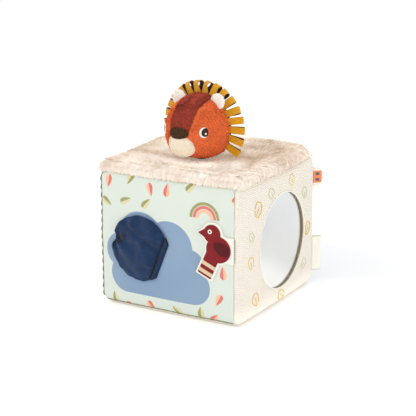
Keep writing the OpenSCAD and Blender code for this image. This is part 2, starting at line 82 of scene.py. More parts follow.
class Look:  # one material and the nodes in it
    def __init__(self, name, roughness=0.9, sheen=0.0, specular=0.2, metallic=0.0):
        self.mat = bpy.data.materials.new(name)
        self.mat.use_nodes = True
        self.tree, self.spot = self.mat.node_tree, None
        self.skin = self.tree.nodes["Principled BSDF"]
        self.give(Roughness=roughness, Sheen_Weight=sheen, Sheen_Roughness=0.45, Specular_IOR_Level=specular,
                  Metallic=metallic)

    def node(self, kind, settings=None, inputs=None, out=0):
        made = self.tree.nodes.new(kind)
        for key, value in (settings or {}).items():
            setattr(made, key, value)
        for key, value in (inputs or {}).items():
            self.plug(made.inputs[key], value)
        return Wire(self, made.outputs[out])

    def plug(self, socket, value):
        if isinstance(value, Wire):
            self.tree.links.new(value.socket, socket)
        else:
            socket.default_value = value

    def give(self, **values):
        for key, value in values.items():
            self.plug(self.skin.inputs[key.replace("_", " ")], value)
        return self.mat

    def vector(self, kind, first, second, out=0):
        slot = "Scale" if kind == "SCALE" else 1
        return self.node("ShaderNodeVectorMath", {"operation": kind}, {0: first, slot: second}, out)

    def place(self):  # the surface point in the part's own frame, in millimetres
        if self.spot is None:
            self.spot = self.vector("SCALE", self.node("ShaderNodeTexCoord", out="Object"), 1000.0)
        return self.spot

    def axes(self, vector=None):
        made = self.node("ShaderNodeSeparateXYZ", None, {0: vector or self.place()}).socket.node
        return [Wire(self, made.outputs[i]) for i in range(3)]

    def flat(self, a, b):  # two lengths as a point of a plane
        return self.node("ShaderNodeCombineXYZ", None, {0: a, 1: b})

    def cloud(self, size, detail=3.0):  # soft noise with spots of that size in mm
        return self.node("ShaderNodeTexNoise", None,
                         {"Vector": self.place(), "Scale": 1 / size, "Detail": detail}, "Fac")

    def blend(self, factor, first, second):
        return self.node("ShaderNodeMix", {"data_type": "RGBA"}, {0: factor, 6: first, 7: second}, 2)

    def ease(self, value, low, high):  # 0 at low and 1 at high, softly
        return self.node("ShaderNodeMapRange", {"interpolation_type": "SMOOTHSTEP"},
                         {"Value": value, "From Min": low, "From Max": high})

    def away(self, spot, centre):
        return self.vector("DISTANCE", spot, centre, "Value")

    def surface(self, tone, height, depth, **more):  # a colour, and a relief with its depth in millimetres
        inputs = {"Height": height, "Distance": depth * mm, "Strength": 1.0}
        return self.give(Base_Color=tone, Normal=self.node("ShaderNodeBump", None, inputs, "Normal"), **more)

    def turned(self, value, pitch):  # a wave with that pitch in mm, 0 to 1
        return (value * (2 * pi / pitch)).wave() * 0.5 + 0.5


def weave(look, a, b, pitch):  # plain weave: threads over and under each other
    over = look.turned(a, pitch * 2)
    return over * look.turned(b, pitch) + (1 - over) * look.turned(b + pitch / 2, pitch)


def linked(name, data):
    made = bpy.data.objects.new(name, data)
    bpy.context.scene.collection.objects.link(made)
    return made


def rounded(mesh):  # shaded without facets
    mesh.polygons.foreach_set("use_smooth", np.full(len(mesh.polygons), True))


def pieceOf(name, points, faces, mats, body, slots=None, join=False):
    mesh = bpy.data.meshes.new(name)
    mesh.from_pydata((np.asarray(points, float).reshape(-1, 3) * mm).tolist(), [], faces)
    if join:  # points that fall together at the corners become one
        work = bmesh.new()
        work.from_mesh(mesh)
        bmesh.ops.remove_doubles(work, verts=work.verts, dist=weldGap)
        work.to_mesh(mesh)
        work.free()
    mesh.validate()
    for mat in mats:
        mesh.materials.append(mat)
    if slots is not None:
        mesh.polygons.foreach_set("material_index", np.asarray(slots, np.int32))
    rounded(mesh)
    mesh.update()
    made = linked(name, mesh)
    if body:
        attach(made, body)
    return made


def thicken(piece, depth, offset=-1):
    thick = piece.modifiers.new("cloth", "SOLIDIFY")
    thick.thickness, thick.offset = depth * mm, offset


def dress(node, mat):  # a solid of the frame that keeps its own form
    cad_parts[node].data.materials.clear()
    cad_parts[node].data.materials.append(mat)


def gridFaces(rows, columns, loop=False, flip=False, first=0):
    faces = []
    for low in range(first, first + (rows - 1) * columns, columns):
        for j in range(columns if loop else columns - 1):
            k, high = (j + 1) % columns, low + columns
            face = [low + j, low + k, high + k, high + j]
            faces.append(face[::-1] if flip else face)
    return faces


def ripple(a, b, size, seed=0.0):  # soft noise from -1 to 1 on two lengths in mm
    a, b = np.broadcast_arrays(a, b)
    flat = [noise.noise(Vector((u / size, v / size, seed))) for u, v in zip(a.ravel(), b.ravel())]
    return np.array(flat).reshape(a.shape)


def unit(rows):  # vectors at length 1
    return rows / np.linalg.norm(rows, axis=-1, keepdims=True)


def ramp(values):
    return np.clip(values, 0, 1)


def circle(count):  # even turns from 0
    return np.linspace(0, 2 * pi, count, endpoint=False)


def runOf(line):  # the length along a line up to each of its points
    return np.concatenate([[0], np.cumsum(np.linalg.norm(np.diff(line, axis=0), axis=1))])


def walk(line, steps):  # points of a line at those lengths
    return np.stack([np.interp(steps, runOf(line), line[:, i]) for i in range(3)], axis=1)


# The cube's own sizes, in millimetres
cube = {"w": 163, "d": 162, "h": 143, "crown": 2.5, "round": 12, "seamX": 73.5, "mesh": 1.7, "cloth": 1.3}
midZ, edge = cube["h"] / 2, cube["round"]
bulgeX, bulgeY = (((cube[k] / 2) ** 2 + cube["crown"] ** 2) / (2 * cube["crown"]) for k in ("d", "w"))


def outFront(x, z):
    return cube["d"] / 2 + cube["crown"] - (x * x + (z - midZ) ** 2) / (2 * bulgeY)


def outRight(y, z):
    return cube["w"] / 2 + cube["crown"] - (y * y + (z - midZ) ** 2) / (2 * bulgeX)


postX = outRight(cube["d"] / 2 - edge, midZ) - edge + 0.15
postY = outFront(cube["w"] / 2 - edge, midZ) - edge + 0.15
posts = [(x * postX, y * postY) for x, y in square]
seamTurn = degrees(asin((cube["seamX"] - postX) / edge))


def wall(first, second, start, angle, stop, steps=(9, 9)):  # post to post, as x, y and angle
    count = int(max(abs(first[0] - second[0]), abs(first[1] - second[1])) / cube["mesh"])
    line = [(*first, a) for a in np.linspace(start, angle, steps[0])]
    for t in np.linspace(0, 1, count + 1)[1:-1]:
        line.append((first[0] + (second[0] - first[0]) * t, first[1] + (second[1] - first[1]) * t, angle))
    line += [(*second, a) for a in np.linspace(angle, stop, steps[1])]
    return [(x, y, radians(a)) for x, y, a in line]


walls = {"front": wall(posts[0], posts[1], -135, -90, -90 + seamTurn, (9, 4)),
         "right": wall(posts[1], posts[2], -90 + seamTurn, 0, 45, (14, 9)),
         "back": wall(posts[2], posts[3], 45, 90, 135),
         "left": wall(posts[3], posts[0], 135, 180, 225)}
levels = [(edge, radians(a)) for a in np.linspace(-45, 0, 9)]
levels += [(z, 0.0) for z in np.arange(edge + cube["mesh"], cube["h"] - edge, cube["mesh"])]
levels += [(cube["h"] - edge, radians(a)) for a in np.linspace(0, 45, 9)]


def onWall(stations, steps, grow=0.0):  # points of the soft box, one row for each level
    px, py, turn = (np.array(v)[None, :] for v in zip(*stations))
    zs, lift = (np.array(v)[:, None] for v in zip(*steps))
    around = np.arctan2(abs(np.cos(turn)), abs(np.sin(turn)))
    part = around / (pi / 2)
    level = (outFront(px, zs) - postY) * (1 - part) + (outRight(py, zs) - postX) * part
    out = level + (edge - level) * np.sin(2 * around) + grow
    return np.stack([px + out * np.cos(lift) * np.cos(turn), py + out * np.cos(lift) * np.sin(turn),
                     zs + (edge + grow) * np.sin(lift) + 0 * px], axis=-1)


def clothForm(side, seed):
    base = onWall(walls[side], levels)
    rows, columns = base.shape[:2]
    across, up = runOf(base[rows // 2])[None, :], runOf(base[:, columns // 2])[:, None]
    edges = [across, across[0, -1] - across, up, up[-1, 0] - up]
    near = np.min(np.broadcast_arrays(*edges), axis=0)
    form = 0.45 * ripple(across, up, 46, seed) + 0.2 * ripple(across, up, 17, seed + 3)
    for far, along in zip(edges, (up, up, across, across)):  # puckers run in from each seam
        form = form + 0.3 * np.exp(-far / 6) * ripple(along, far * 0.25, 5.5, seed + 7)
    form = form - 1.1 * np.exp(-(near / 1.3) ** 2)
    return base + form[..., None] * (onWall(walls[side], levels, 1.0) - base)


print("stage: cloth of the cube")

waffle = {"ground": tint(251, 246, 235), "pitShade": tint(226, 212, 190), "fibre": tint(255, 250, 240),
          "pitch": 1.9, "low": (26, 6), "bounce": 0.17}


def waffleLook(name):
    look = Look(name, roughness=0.92, sheen=0.15)
    x, y, z = look.axes()
    pits = look.turned(z, waffle["pitch"]) * 0.75 + look.turned(x + y, waffle["pitch"]) * 0.35
    fibre = look.cloud(0.5, 4.0)
    # painted shade: the waffle's pits are coloured darker, mixed with a soft random tone
    tone = look.blend(look.cloud(38, 2.0) * 0.2 + (1 - pits.least(1.0)) * 0.5, waffle["ground"],
                      waffle["pitShade"])
    tone = look.blend(fibre * 0.12, tone, waffle["fibre"])
    low = look.blend(look.ease(z, *waffle["low"]), (0, 0, 0, 1), waffle["ground"])  # painted bounce light: the wall glows, more towards the floor
    return look.surface(tone, pits + fibre * 0.4, 0.75, Emission_Color=low,
                     Emission_Strength=waffle["bounce"])


sky = {"ground": tint(217, 224, 214), "cloud": tint(120, 146, 180), "coral": tint(222, 92, 84),
       "peach": tint(246, 186, 146), "olive": tint(150, 146, 74), "beige": tint(222, 208, 160),
       "thread": tint(196, 208, 196), "cell": 25.0, "drop": (3.3, 6.6), "bow": (42, 106),
       "bands": ((6, 9, "peach"), (9.6, 12.6, "coral"), (13.2, 16.2, "olive")), "base": (-9, 38, 35, 18),
       "puffs": [(-47, 36, 19), (-52, 60, 19), (-30, 76, 27), (2, 71, 27), (29, 36, 19), (26, 56, 17)]}


def skyLook(name):  # a printed sky: one big cloud, a small rainbow and loose drops
    look = Look(name, roughness=0.88, sheen=0.12)
    x, y, z = look.axes()
    flat, (bowX, bowZ), (wide, tall) = look.flat(x, z), sky["bow"], sky["drop"]

    def cloudEdge(spot):
        cx, halfX, cz, halfZ = sky["base"]
        sx, sz, none = look.axes(spot)
        far = (abs(sx - cx) - halfX).most(abs(sz - cz) - halfZ)
        for cx, cz, r in sky["puffs"]:
            far = far.least(look.away(spot, (cx, cz, 0)) - r)
        return far

    cells = look.node("ShaderNodeTexVoronoi", {"voronoi_dimensions": "2D"},
                      {"Vector": look.vector("SCALE", flat, 1 / sky["cell"]), "Scale": 1.0,
                       "Randomness": 0.5}, "Position")
    chance = look.axes(Wire(look, cells.socket.node.outputs["Color"]))
    middle = look.vector("SCALE", cells, sky["cell"])
    turned = look.node("ShaderNodeVectorRotate", {"rotation_type": "Z_AXIS"},
                       {"Vector": look.vector("SUBTRACT", flat, middle), "Angle": chance[0] * 6.28})
    dx, dy, dz = look.axes(turned)
    v = (dy / tall).least(1.0).most(-1.0)
    drop = look.ease((1 - v * v) ** 0.5 * (1 - v * 0.5) * wide - abs(dx), -0.2, 0.25) * (abs(dy) < tall)
    free = (cloudEdge(middle) > 7.0) * (look.away(middle, (bowX, bowZ + 6, 0)) > 23.0)
    warm = look.blend(dx > 0.0, sky["coral"], sky["peach"])
    green = look.blend(dx > 0.0, sky["olive"], sky["beige"])
    tone = look.blend(drop * free, sky["ground"], look.blend(chance[1] > 0.5, warm, green))
    bow = look.away(flat, (bowX, bowZ, 0))
    for low, high, colour in sky["bands"]:
        band = look.ease(bow, low - 0.25, low + 0.25) * look.ease(bow, high + 0.25, high - 0.25)
        tone = look.blend(band * look.ease(z, bowZ - 0.3, bowZ + 0.3), tone, sky[colour])
    shaded = look.blend(look.cloud(30, 2.0) * 0.4, sky["cloud"], shadeOf(sky["cloud"], 1.15))
    tone = look.blend(look.ease(cloudEdge(flat), 0.3, -0.3), tone, shaded)
    threads = weave(look, x, z, 0.7)
    tone = look.blend(look.cloud(45, 2.0) * 0.18 + (1 - threads) * 0.12, tone, sky["thread"])
    return look.surface(tone, threads + look.cloud(0.6) * 0.6, 0.12)


def plainLook(name, colour, lying=False):
    look = Look(name, roughness=0.9, sheen=0.15)
    x, y, z = look.axes()
    threads = weave(look, x + y, x - y if lying else z, 0.8)
    tone = look.blend(look.cloud(30) * 0.5 + (1 - threads) * 0.25, colour, shadeOf(colour, 0.72))
    return look.surface(tone, threads + look.cloud(0.6) * 0.5, 0.16)


clothLooks = {"front": (skyLook("sky_print"), "mint_print"),
              "right": (waffleLook("cream_waffle_right"), "cream_waffle"),
              "back": (plainLook("slate_cotton", tint(139, 163, 199)), "slate_cloth"),
              "left": (waffleLook("cream_waffle_left"), "cream_waffle")}
window = {"y": 2, "z": 69, "r": 50, "from": 75}
for number, side in enumerate(walls):
    points = clothForm(side, 10.0 * number)
    faces, flat = gridFaces(*points.shape[:2]), points.reshape(-1, 3)
    if side == "front":
        frontGrid = points
    if side == "right":  # the round window: faces inside it go, and the ragged edge is drawn to the circle
        middle = np.array([window["y"], window["z"]])
        rho = np.hypot(*(flat[:, 1:] - middle).T)
        rho[flat[:, 0] < window["from"]] = 999
        faces = [f for f in faces if max(rho[f]) >= window["r"]]
        used = sorted({v for f in faces for v in f})
        for i in used:
            if rho[i] < window["r"]:
                flat[i, 1:] = middle + (flat[i, 1:] - middle) * (window["r"] / rho[i])
        place = {v: i for i, v in enumerate(used)}
        flat, faces = flat[used], [[place[v] for v in f] for f in faces]
    look, slot = clothLooks[side]
    cloth = pieceOf(side + "_cloth", flat, faces, [look], "cube")
    thicken(cloth, cube["cloth"])
    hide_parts(side + "_panel")

ring = [station for side in walls.values() for station in side[:-1]]


def ringed(rings, top=False):  # closed rings of points, one inside the other, with a fan in the middle
    points = np.concatenate(rings + [np.mean(rings[-1], axis=0, keepdims=True)])
    count = len(rings[0])
    faces = gridFaces(len(rings), count, loop=True, flip=not top)
    last, heart = (len(rings) - 1) * count, len(points) - 1
    faces += [[last + i, last + (i + 1) % count, heart][::1 if top else -1] for i in range(count)]
    return points, faces


def inward(points, shares, height):
    return [np.column_stack([points[:, :2] * k, np.full(len(points), height)]) for k in shares]


base = [onWall(ring, [(edge, radians(a))])[0] for a in np.linspace(-45, -90, 8)]
base += inward(base[-1], np.linspace(0.96, 0.05, 14), 0.0)
points, faces = ringed(base)
points[:, 2] = np.maximum(points[:, 2], 0)
baseCloth = pieceOf("base_cloth", points, faces, [plainLook("cream_cotton", tint(240, 230, 214), lying=True)],
                    "cube", join=True)
thicken(baseCloth, cube["cloth"])
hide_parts("bottom_panel")


def tube(path, radius, sides=10):  # closed tube along points
    path = np.asarray(path, float)
    ahead = unit(np.gradient(path, axis=0))
    sideways = unit(np.cross(ahead, [0.3, 0.8, 0.52]))
    upright = np.cross(sideways, ahead)
    turn = circle(sides)[None, :, None]
    radius = np.broadcast_to(radius, len(path))[:, None, None]
    rings = path[:, None] + radius * (np.cos(turn) * sideways[:, None] + np.sin(turn) * upright[:, None])
    faces = gridFaces(len(path), sides, loop=True)
    faces += [list(range(sides))[::-1], list(range((len(path) - 1) * sides, len(path) * sides))]
    return rings.reshape(-1, 3), faces


piping = {"colour": tint(160, 164, 118), "dark": tint(108, 114, 74), "thick": 0.95, "wave": 0.9, "pitch": 8.6,
          "step": 1.5}
cordLook = Look("olive_cord", roughness=0.9, sheen=0.2)
x, y, z = cordLook.axes()
twist = cordLook.turned(x + y + z, 1.5)
cordTone = cordLook.blend(twist * 0.6 + cordLook.cloud(6) * 0.3, piping["dark"], piping["colour"])
cordMat = cordLook.surface(cordTone, twist, 0.3)
line = np.concatenate([frontGrid[0, ::-1][2:-3], frontGrid[1:-1, 0], frontGrid[-1, 3:-2]])
even = np.arange(0, runOf(line)[-1], piping["step"])
line = walk(line, even) + [-0.45, -0.45, 0]
line[:, 2] = np.maximum(line[:, 2], piping["thick"] + 0.1)
beat = even * 2 * pi / piping["pitch"]
upright = ramp((line[:, 0] + 74) / -4)
line[:, 1] += piping["wave"] * np.sin(beat) * (0.25 + 0.75 * upright)
points, faces = tube(line, piping["thick"] * (1 + 0.14 * np.sin(beat * 2)))
cord = pieceOf("front_cord", points, faces, [cordMat], "cube")
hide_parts("front_piping")

print("stage: mirror")

mirror = {"glass": tint(223, 223, 221), "dim": tint(204, 206, 206), "tape": tint(190, 178, 154),
          "tapeDark": tint(112, 100, 80), "bound": tint(250, 244, 232), "face": 80.71, "sides": 160,
          "profile": [(49.6, 0.05), (49.85, 1.2), (49.9, 2.5), (49.7, 3.1), (49.2, 3.25), (48.75, 3.0),
                      (48.6, 2.4), (48.65, 1.2), (48.8, 0.05)]}
glass = Look("mirror_glass", roughness=0.05, specular=0.5, metallic=1.0)
# painted reflection: the mirror's colour is darker towards the top, in soft blotches; the same noise varies
# its roughness a little
hazeAndShadeMottle = glass.cloud(26, 2.0)
high = glass.ease(glass.axes()[2] + hazeAndShadeMottle * 30, 60, 130)
dress("mirror_disc", glass.give(Base_Color=glass.blend(high, mirror["glass"], mirror["dim"]),
                                Roughness=hazeAndShadeMottle * 0.05 + 0.035, Coat_Weight=0.4))
tapeLook = Look("window_tape", roughness=0.95, sheen=0.2)
x, y, z = tapeLook.axes()
ribs = tapeLook.turned(z + y * 0.6, 0.9) * 0.6 + tapeLook.turned(x, 0.7) * 0.4
# painted shade: the tape's inner band, down towards the mirror, is coloured dark grey-brown; its top is the
# cream binding
tapeShadeTone = tapeLook.blend(ribs + tapeLook.cloud(5) * 0.5 - 0.3, mirror["tapeDark"], mirror["tape"])
bound = tapeLook.ease(x + tapeLook.cloud(3) * 0.5, mirror["face"] + 1.7, mirror["face"] + 2.3)
tapeMat = tapeLook.surface(tapeLook.blend(bound, tapeShadeTone, mirror["bound"]), ribs, 0.3)
turns = circle(mirror["sides"])
rings = [np.stack([mirror["face"] + h + 0.1 * np.sin(turns * 23 + r), window["y"] + r * np.cos(turns),
                   window["z"] + r * np.sin(turns)], axis=1) for r, h in mirror["profile"]]
faces = gridFaces(len(rings), mirror["sides"], loop=True, flip=True)
tape = pieceOf("window_tape", np.concatenate(rings), faces, [tapeMat], "cube")
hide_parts("mirror_rim")

print("stage: fur top")

fur = {"tones": [tint(253, 247, 240), tint(250, 241, 231), tint(246, 234, 221), tint(236, 220, 202),
                 tint(212, 190, 165)],
       "count": 38000, "rim": 21000, "length": (6.0, 10.0), "width": 0.5, "glow": 0.11, "z": 139.0,
       "out": -1.6, "up": 9.5, "over": 4.2, "past": 4.5, "corner": 11.5, "farCorner": 8, "root": 0.4}


def strandLook(name, colour, glow):
    # painted light: the strands glow with their own colour at that strength, lifting the shade among them
    return Look(name, roughness=0.9, specular=0.1).give(Base_Color=colour, Emission_Color=colour,
                                                        Emission_Strength=glow)


def clumped(roots, ways, lengths, size, pull):  # tips of neighbours drawn together into tufts
    x, y, z = roots.T
    tips = roots + ways * lengths[:, None]
    wander = np.stack([ripple(x, y + z, 9, k) for k in (1.0, 2.0, 3.0)], axis=1) * 4
    cells = np.floor((roots + wander) / size).astype(int)
    cell = np.unique(cells, axis=0, return_inverse=True)[1].ravel()
    middle = np.stack([np.bincount(cell, tips[:, k]) / np.bincount(cell) for k in range(3)], axis=1)
    reach = tips * (1 - pull) + middle[cell] * pull - roots
    return unit(reach), np.linalg.norm(reach, axis=1)


def strands(name, roots, normals, ways, lengths, width, mats, tones, body, bend, joints=3,
            soft=0.88):
    count = len(roots)
    sides = unit(np.cross(ways, normals) + np.cross(ways, dice.normal(0, 0.3, (count, 3))))
    sides[np.sum(np.cross(sides, ways) * normals, axis=1) < 0] *= -1  # faces point outside
    lengths, rows = lengths[:, None], []
    for share in np.linspace(0, 1, joints + 1)[:-1]:
        spine = roots + ways * lengths * share + bend * lengths * share ** 2
        half = sides * width * 0.5 * (1 - 0.55 * share)
        rows += [spine - half, spine + half]
    rows.append(roots + ways * lengths + bend * lengths)
    points, size = np.stack(rows, axis=1), len(rows)
    pattern = [[2 * i, 2 * i + 1, 2 * i + 3, 2 * i + 2] for i in range(joints - 1)]
    pattern.append([size - 3, size - 2, size - 1])
    faces = [[start + i for i in face] for start in range(0, count * size, size) for face in pattern]
    made = pieceOf(name, points, faces, mats, body, np.repeat(tones, len(pattern)))
    tip = unit(normals * soft + ways * (1 - soft))
    made.data.normals_split_custom_set_from_vertices(np.repeat(tip, size, axis=0).tolist())


def farCorner(x, y):  # 1 at the back right corner, where the pile is rounded off
    return ramp(x / 78) ** 3 * ramp(y / 78) ** 3


def furRim(stations, lift):
    sideways = ramp([-cos(s[2]) for s in stations])  # the pile hangs over most on the left
    points = onWall(stations, [(fur["z"], lift)], fur["out"] + fur["over"] * sideways[None, :])[0]
    points[:, 2] = fur["z"] + fur["up"] * sin(lift)
    points[:, :2] -= (0.8 + 6.2 * (1 - cos(lift))) * farCorner(points[:, 0], points[:, 1])[:, None]
    return points


def furLift(x, y):  # the pile stands higher towards the back and is pressed down under the head
    pressed = 2.2 * np.exp(-(x / 17) ** 2 - ((y + 24) / 20) ** 2)
    return 1.6 + 1.6 * np.tanh((y - 5) / 25) - pressed - 1.8 * farCorner(x, y)


furLook = Look("fur_ground", roughness=0.95)
furTone = furLook.blend(furLook.cloud(16, 4.0) * 0.6, fur["tones"][1], fur["tones"][2])
# painted light: the fur ground glows a little with a cream tone
furMat = furLook.surface(furTone, furLook.cloud(1.2, 4.0), 0.8,
                      Emission_Color=fur["tones"][2], Emission_Strength=fur["glow"])
furRings = [furRim(ring, radians(a)) for a in np.linspace(-4, 90, 11)]
furTop = fur["z"] + fur["up"]
furRings += inward(furRings[-1], np.linspace(0.97, 0.05, 24), furTop)
points, faces = ringed(furRings, top=True)
points[:, 2] += furLift(points[:, 0], points[:, 1]) * ramp((points[:, 2] - fur["z"]) / fur["up"])
furGround = pieceOf("fur_ground", points, faces, [furMat], "cube", join=True)
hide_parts("top_pile")
paintedLightTone = len(fur["tones"])  # painted light: the first tone once more, with a stronger glow
# painted light: every fur strand glows, the top a little more and the rim less
furMats = {where: [strandLook("fur_%s_%d" % (where, i), c, fur["glow"] + more + 0.1 * (i == paintedLightTone))
                   for i, c in enumerate(fur["tones"] + fur["tones"][:1])]
           for where, more in (("top", 0.015), ("rim", -0.03))}


def furTones(roots):
    x, y, z = roots.T
    soft = ripple(x, y + z, 24, 5.0) * 1.1 + ripple(x, y - z, 7, 9.0) * 0.6
    left = 2.9 * ramp((-x - 38) / 30) - 1.7 * ramp((-x - 68) / 9)  # painted shade: a deeper cream to both sides of the head, more towards the back
    right = 2.6 * ramp((x - 8) / 20) - 1.2 * ramp((x - 40) / 35)
    # painted shadow: tan along the foot of the pile, where it meets the seam
    seamShadow = 1.3 * ramp((142.5 - z) / 3.5) * ramp((x + 80) / 30)
    paintedShade = left * ramp((y + 90) / 60) + right * ramp((y + 45) / 45) + seamShadow
    tones = np.clip(np.floor(soft + dice.normal(0, 0.45, len(x)) + 1.25 + paintedShade), 0, paintedLightTone - 1).astype(int)
    front = np.hypot((x - 8) / 28, (y + 46) / 16) + dice.normal(0, 0.15, len(x))
    tones[front < 1] = paintedLightTone  # painted light: tips in front of the head glow brighter, lifting the head's shadow
    return tones


reach = np.array([postX, postY]) + fur["past"]
spots = dice.uniform(-1, 1, (fur["count"], 2)) * reach
past = np.maximum(abs(spots) - (reach - fur["corner"]), 0)
far = np.maximum(np.hypot(*past.T), fur["corner"])[:, None]
spots -= np.sign(spots) * past * (1 - fur["corner"] / far)  # round corners
spots -= fur["farCorner"] * farCorner(*spots.T)[:, None]
x, y = spots.T
roots = np.column_stack([spots, furTop - fur["root"] + furLift(x, y)])
flow = 2.6 * ripple(x, y, 20, 2.0) + np.arctan2(y + 10, x)
ways = np.column_stack([np.cos(flow), np.sin(flow), np.full(len(flow), 0.75)])
ways += dice.normal(0, 0.3, ways.shape)
ways[:, 2] = np.clip(ways[:, 2], 0.35, 1.2)
gapX, gapY = (reach - abs(spots)).T
inner = ramp(np.minimum(gapX, gapY) / 16)[:, None]  # near the edges the pile is combed flat and outwards
over = np.sign(roots) * np.column_stack([np.exp(-gapX / 5), np.exp(-gapY / 5), 0 * gapX])
over = unit(over) - 0.25 * upward
ways = unit(ways * inner + over * (1 - inner))
ups = unit(over * [0.7, 0.7, 0] * (1 - inner) + upward)
longs = dice.uniform(*fur["length"], len(roots))
longs *= np.clip(np.hypot(x / 21, (y + 26) / 20) - 0.45, 0.42, 1)  # shorter where the head rests and turns
ways, longs = clumped(roots, ways, longs, 5.0, 0.34)
ways[:, 2] = np.maximum(ways[:, 2], 0.2 - 0.6 * (inner[:, 0] < 0.6))
sag = np.column_stack([0.15 * np.cos(flow), 0.15 * np.sin(flow), np.full(len(flow), -0.22)])
strands("fur_top", roots, ups, ways, longs, fur["width"], furMats["top"], furTones(roots), "cube", sag)

pick = dice.integers(0, len(ring), fur["rim"])
lift = np.radians(dice.uniform(0, 88, fur["rim"]))
stations = np.array(ring)[pick]
along = dice.uniform(-0.9, 0.9, fur["rim"])
outs = np.column_stack([np.cos(stations[:, 2]), np.sin(stations[:, 2]), np.zeros(fur["rim"])])
sideways = np.column_stack([-outs[:, 1], outs[:, 0], outs[:, 2]])
rimBase = np.stack([furRim([tuple(s)], a)[0] for s, a in zip(stations, lift)])
rimBase[:, 2] += furLift(rimBase[:, 0], rimBase[:, 1]) * np.sin(lift)
liftC, liftS = np.cos(lift)[:, None], np.sin(lift)[:, None]
normals, downs = outs * liftC + upward * liftS, outs * liftS - upward * liftC
roots = rimBase + sideways * along[:, None] - normals * fur["root"]
x, y, z = roots.T
swirl = ripple(x + y, z * 2 + x - y, 13, 4.0)[:, None]
ways = normals * 0.5 + downs * (0.75 + 0.1 * swirl) + sideways * swirl * 0.8
ways += dice.normal(0, 0.16, roots.shape)
longs = dice.uniform(*fur["length"], fur["rim"]) * 0.72
longs *= np.clip((z - 135.5) / 9, 0.35, 1) * (1 + 0.4 * swirl[:, 0]) * (1 - 0.85 * farCorner(x, y))
ways, longs = clumped(roots, unit(ways), longs, 5.5, 0.45)
facing = unit(outs * liftC * 0.75 + upward * (0.45 + 0.55 * liftS))
strands("fur_rim", roots, facing, ways, longs, fur["width"], furMats["rim"], furTones(roots), "cube",
        downs * 0.12 - upward * 0.12)

print("stage: flap")

flap = {"x": -29.5, "z": 66, "r": 33, "lean": radians(22), "hinge": 21, "edge": 27, "low": 1.3, "high": 1.9,
        "held": 1.6, "pinch": (-62, 70), "fold": (0.906, 0.423),
        "swells": ((0.03, 0.35, 0.3), (0.02, -0.65, 0.25), (-0.085, -0.16, 0.19)), "puff": 6.2, "stitch": 1.6,
        "half": 24.2, "steps": 26, "navy": tint(29, 60, 100), "deep": tint(13, 31, 60),
        "pale": tint(62, 102, 150), "thread": tint(14, 22, 42), "lining": tint(122, 146, 186)}
leanC, leanS = cos(flap["lean"]), sin(flap["lean"])


def onFlap(u, v, height):  # u runs to the sewn edge, v along it, height out of the front
    x = flap["x"] + u * leanC + v * leanS
    z = flap["z"] - u * leanS + v * leanC
    return np.stack(np.broadcast_arrays(x, -(outFront(x, z) + height), z), axis=-1)


def velourLook(name):
    look = Look(name, roughness=0.85, sheen=0.12)
    x, y, z = look.axes()
    cords = look.turned(x * 0.8 + z * 0.6, 1.5)
    dark = flap["deep"]
    tone = look.blend(look.cloud(9, 5.0) * 0.5 + cords * 0.45, dark, flap["navy"])
    tone = look.blend(look.ease(look.cloud(13), 0.46, 0.68) * 0.4, tone, shadeOf(dark, 0.6))
    # painted shade: darker along the crease at the hinge
    crease = abs((x - flap["x"]) * leanC - (z - flap["z"]) * leanS - flap["hinge"])
    tone = look.blend(look.ease(crease, 2.4, 0.3) * 0.8, tone, shadeOf(dark, 0.35))
    # painted shade: darker in the folds round the pinch at the far edge
    (pinchX, pinchZ), (foldC, foldS) = flap["pinch"], flap["fold"]
    px, pz = x - pinchX, z - pinchZ
    inward, beside = px * foldC + pz * foldS, pz * foldC - px * foldS
    fold = ((inward - 7) / 15) ** 2 + (beside / 5.5) ** 2
    tone = look.blend(look.ease(fold, 1.4, 0.0) * 0.95, tone, shadeOf(dark, 0.3))
    tone = look.blend(look.ease(look.cloud(0.7, 2.0), 0.5, 0.75) * 0.35, tone, flap["pale"])
    return look.surface(tone, cords * 0.8 + look.cloud(0.6), 0.4)


velour = velourLook("navy_velour")


def discGrid(rows, columns):  # even grid up to the hinge, over a round outline with a pinch at the far edge
    share, stop = np.linspace(-1, 1, columns)[None, :], flap["hinge"] - 0.4
    u = -flap["r"] + (stop + flap["r"]) * (0.5 - 0.5 * np.cos(np.linspace(0.02, 1, rows) * pi))[:, None]
    v = np.sqrt(np.maximum(flap["r"] ** 2 - u ** 2, 0.3)) * np.sin(share * pi / 2)
    turn, grow = np.arctan2(v, -u), 0
    for swell, middle, wide in flap["swells"]:
        grow = grow + swell * np.exp(-((turn - middle) / wide) ** 2)
    grow = 1 + grow * (u ** 2 + v ** 2) / flap["r"] ** 2
    return u * grow, v * grow


rows, columns = 46, 60
u, v = discGrid(rows, columns)
high = np.full(u.shape, flap["low"])
high[1:-1, 1:-1] = flap["high"]
points = np.concatenate([onFlap(u, v, high), onFlap(u, v, flap["low"])])
faces = gridFaces(rows, columns, flip=True) + gridFaces(rows, columns, first=u.size)
pad = pieceOf("flap_pad", points, faces, [velour], "flap")
weld = pad.modifiers.new("weld", "WELD")
weld.merge_threshold = weldGap


def settle(piece):  # modifiers into the mesh
    bpy.context.view_layer.update()
    done = bpy.data.meshes.new_from_object(piece.evaluated_get(bpy.context.evaluated_depsgraph_get()))
    piece.modifiers.clear()
    piece.data = done


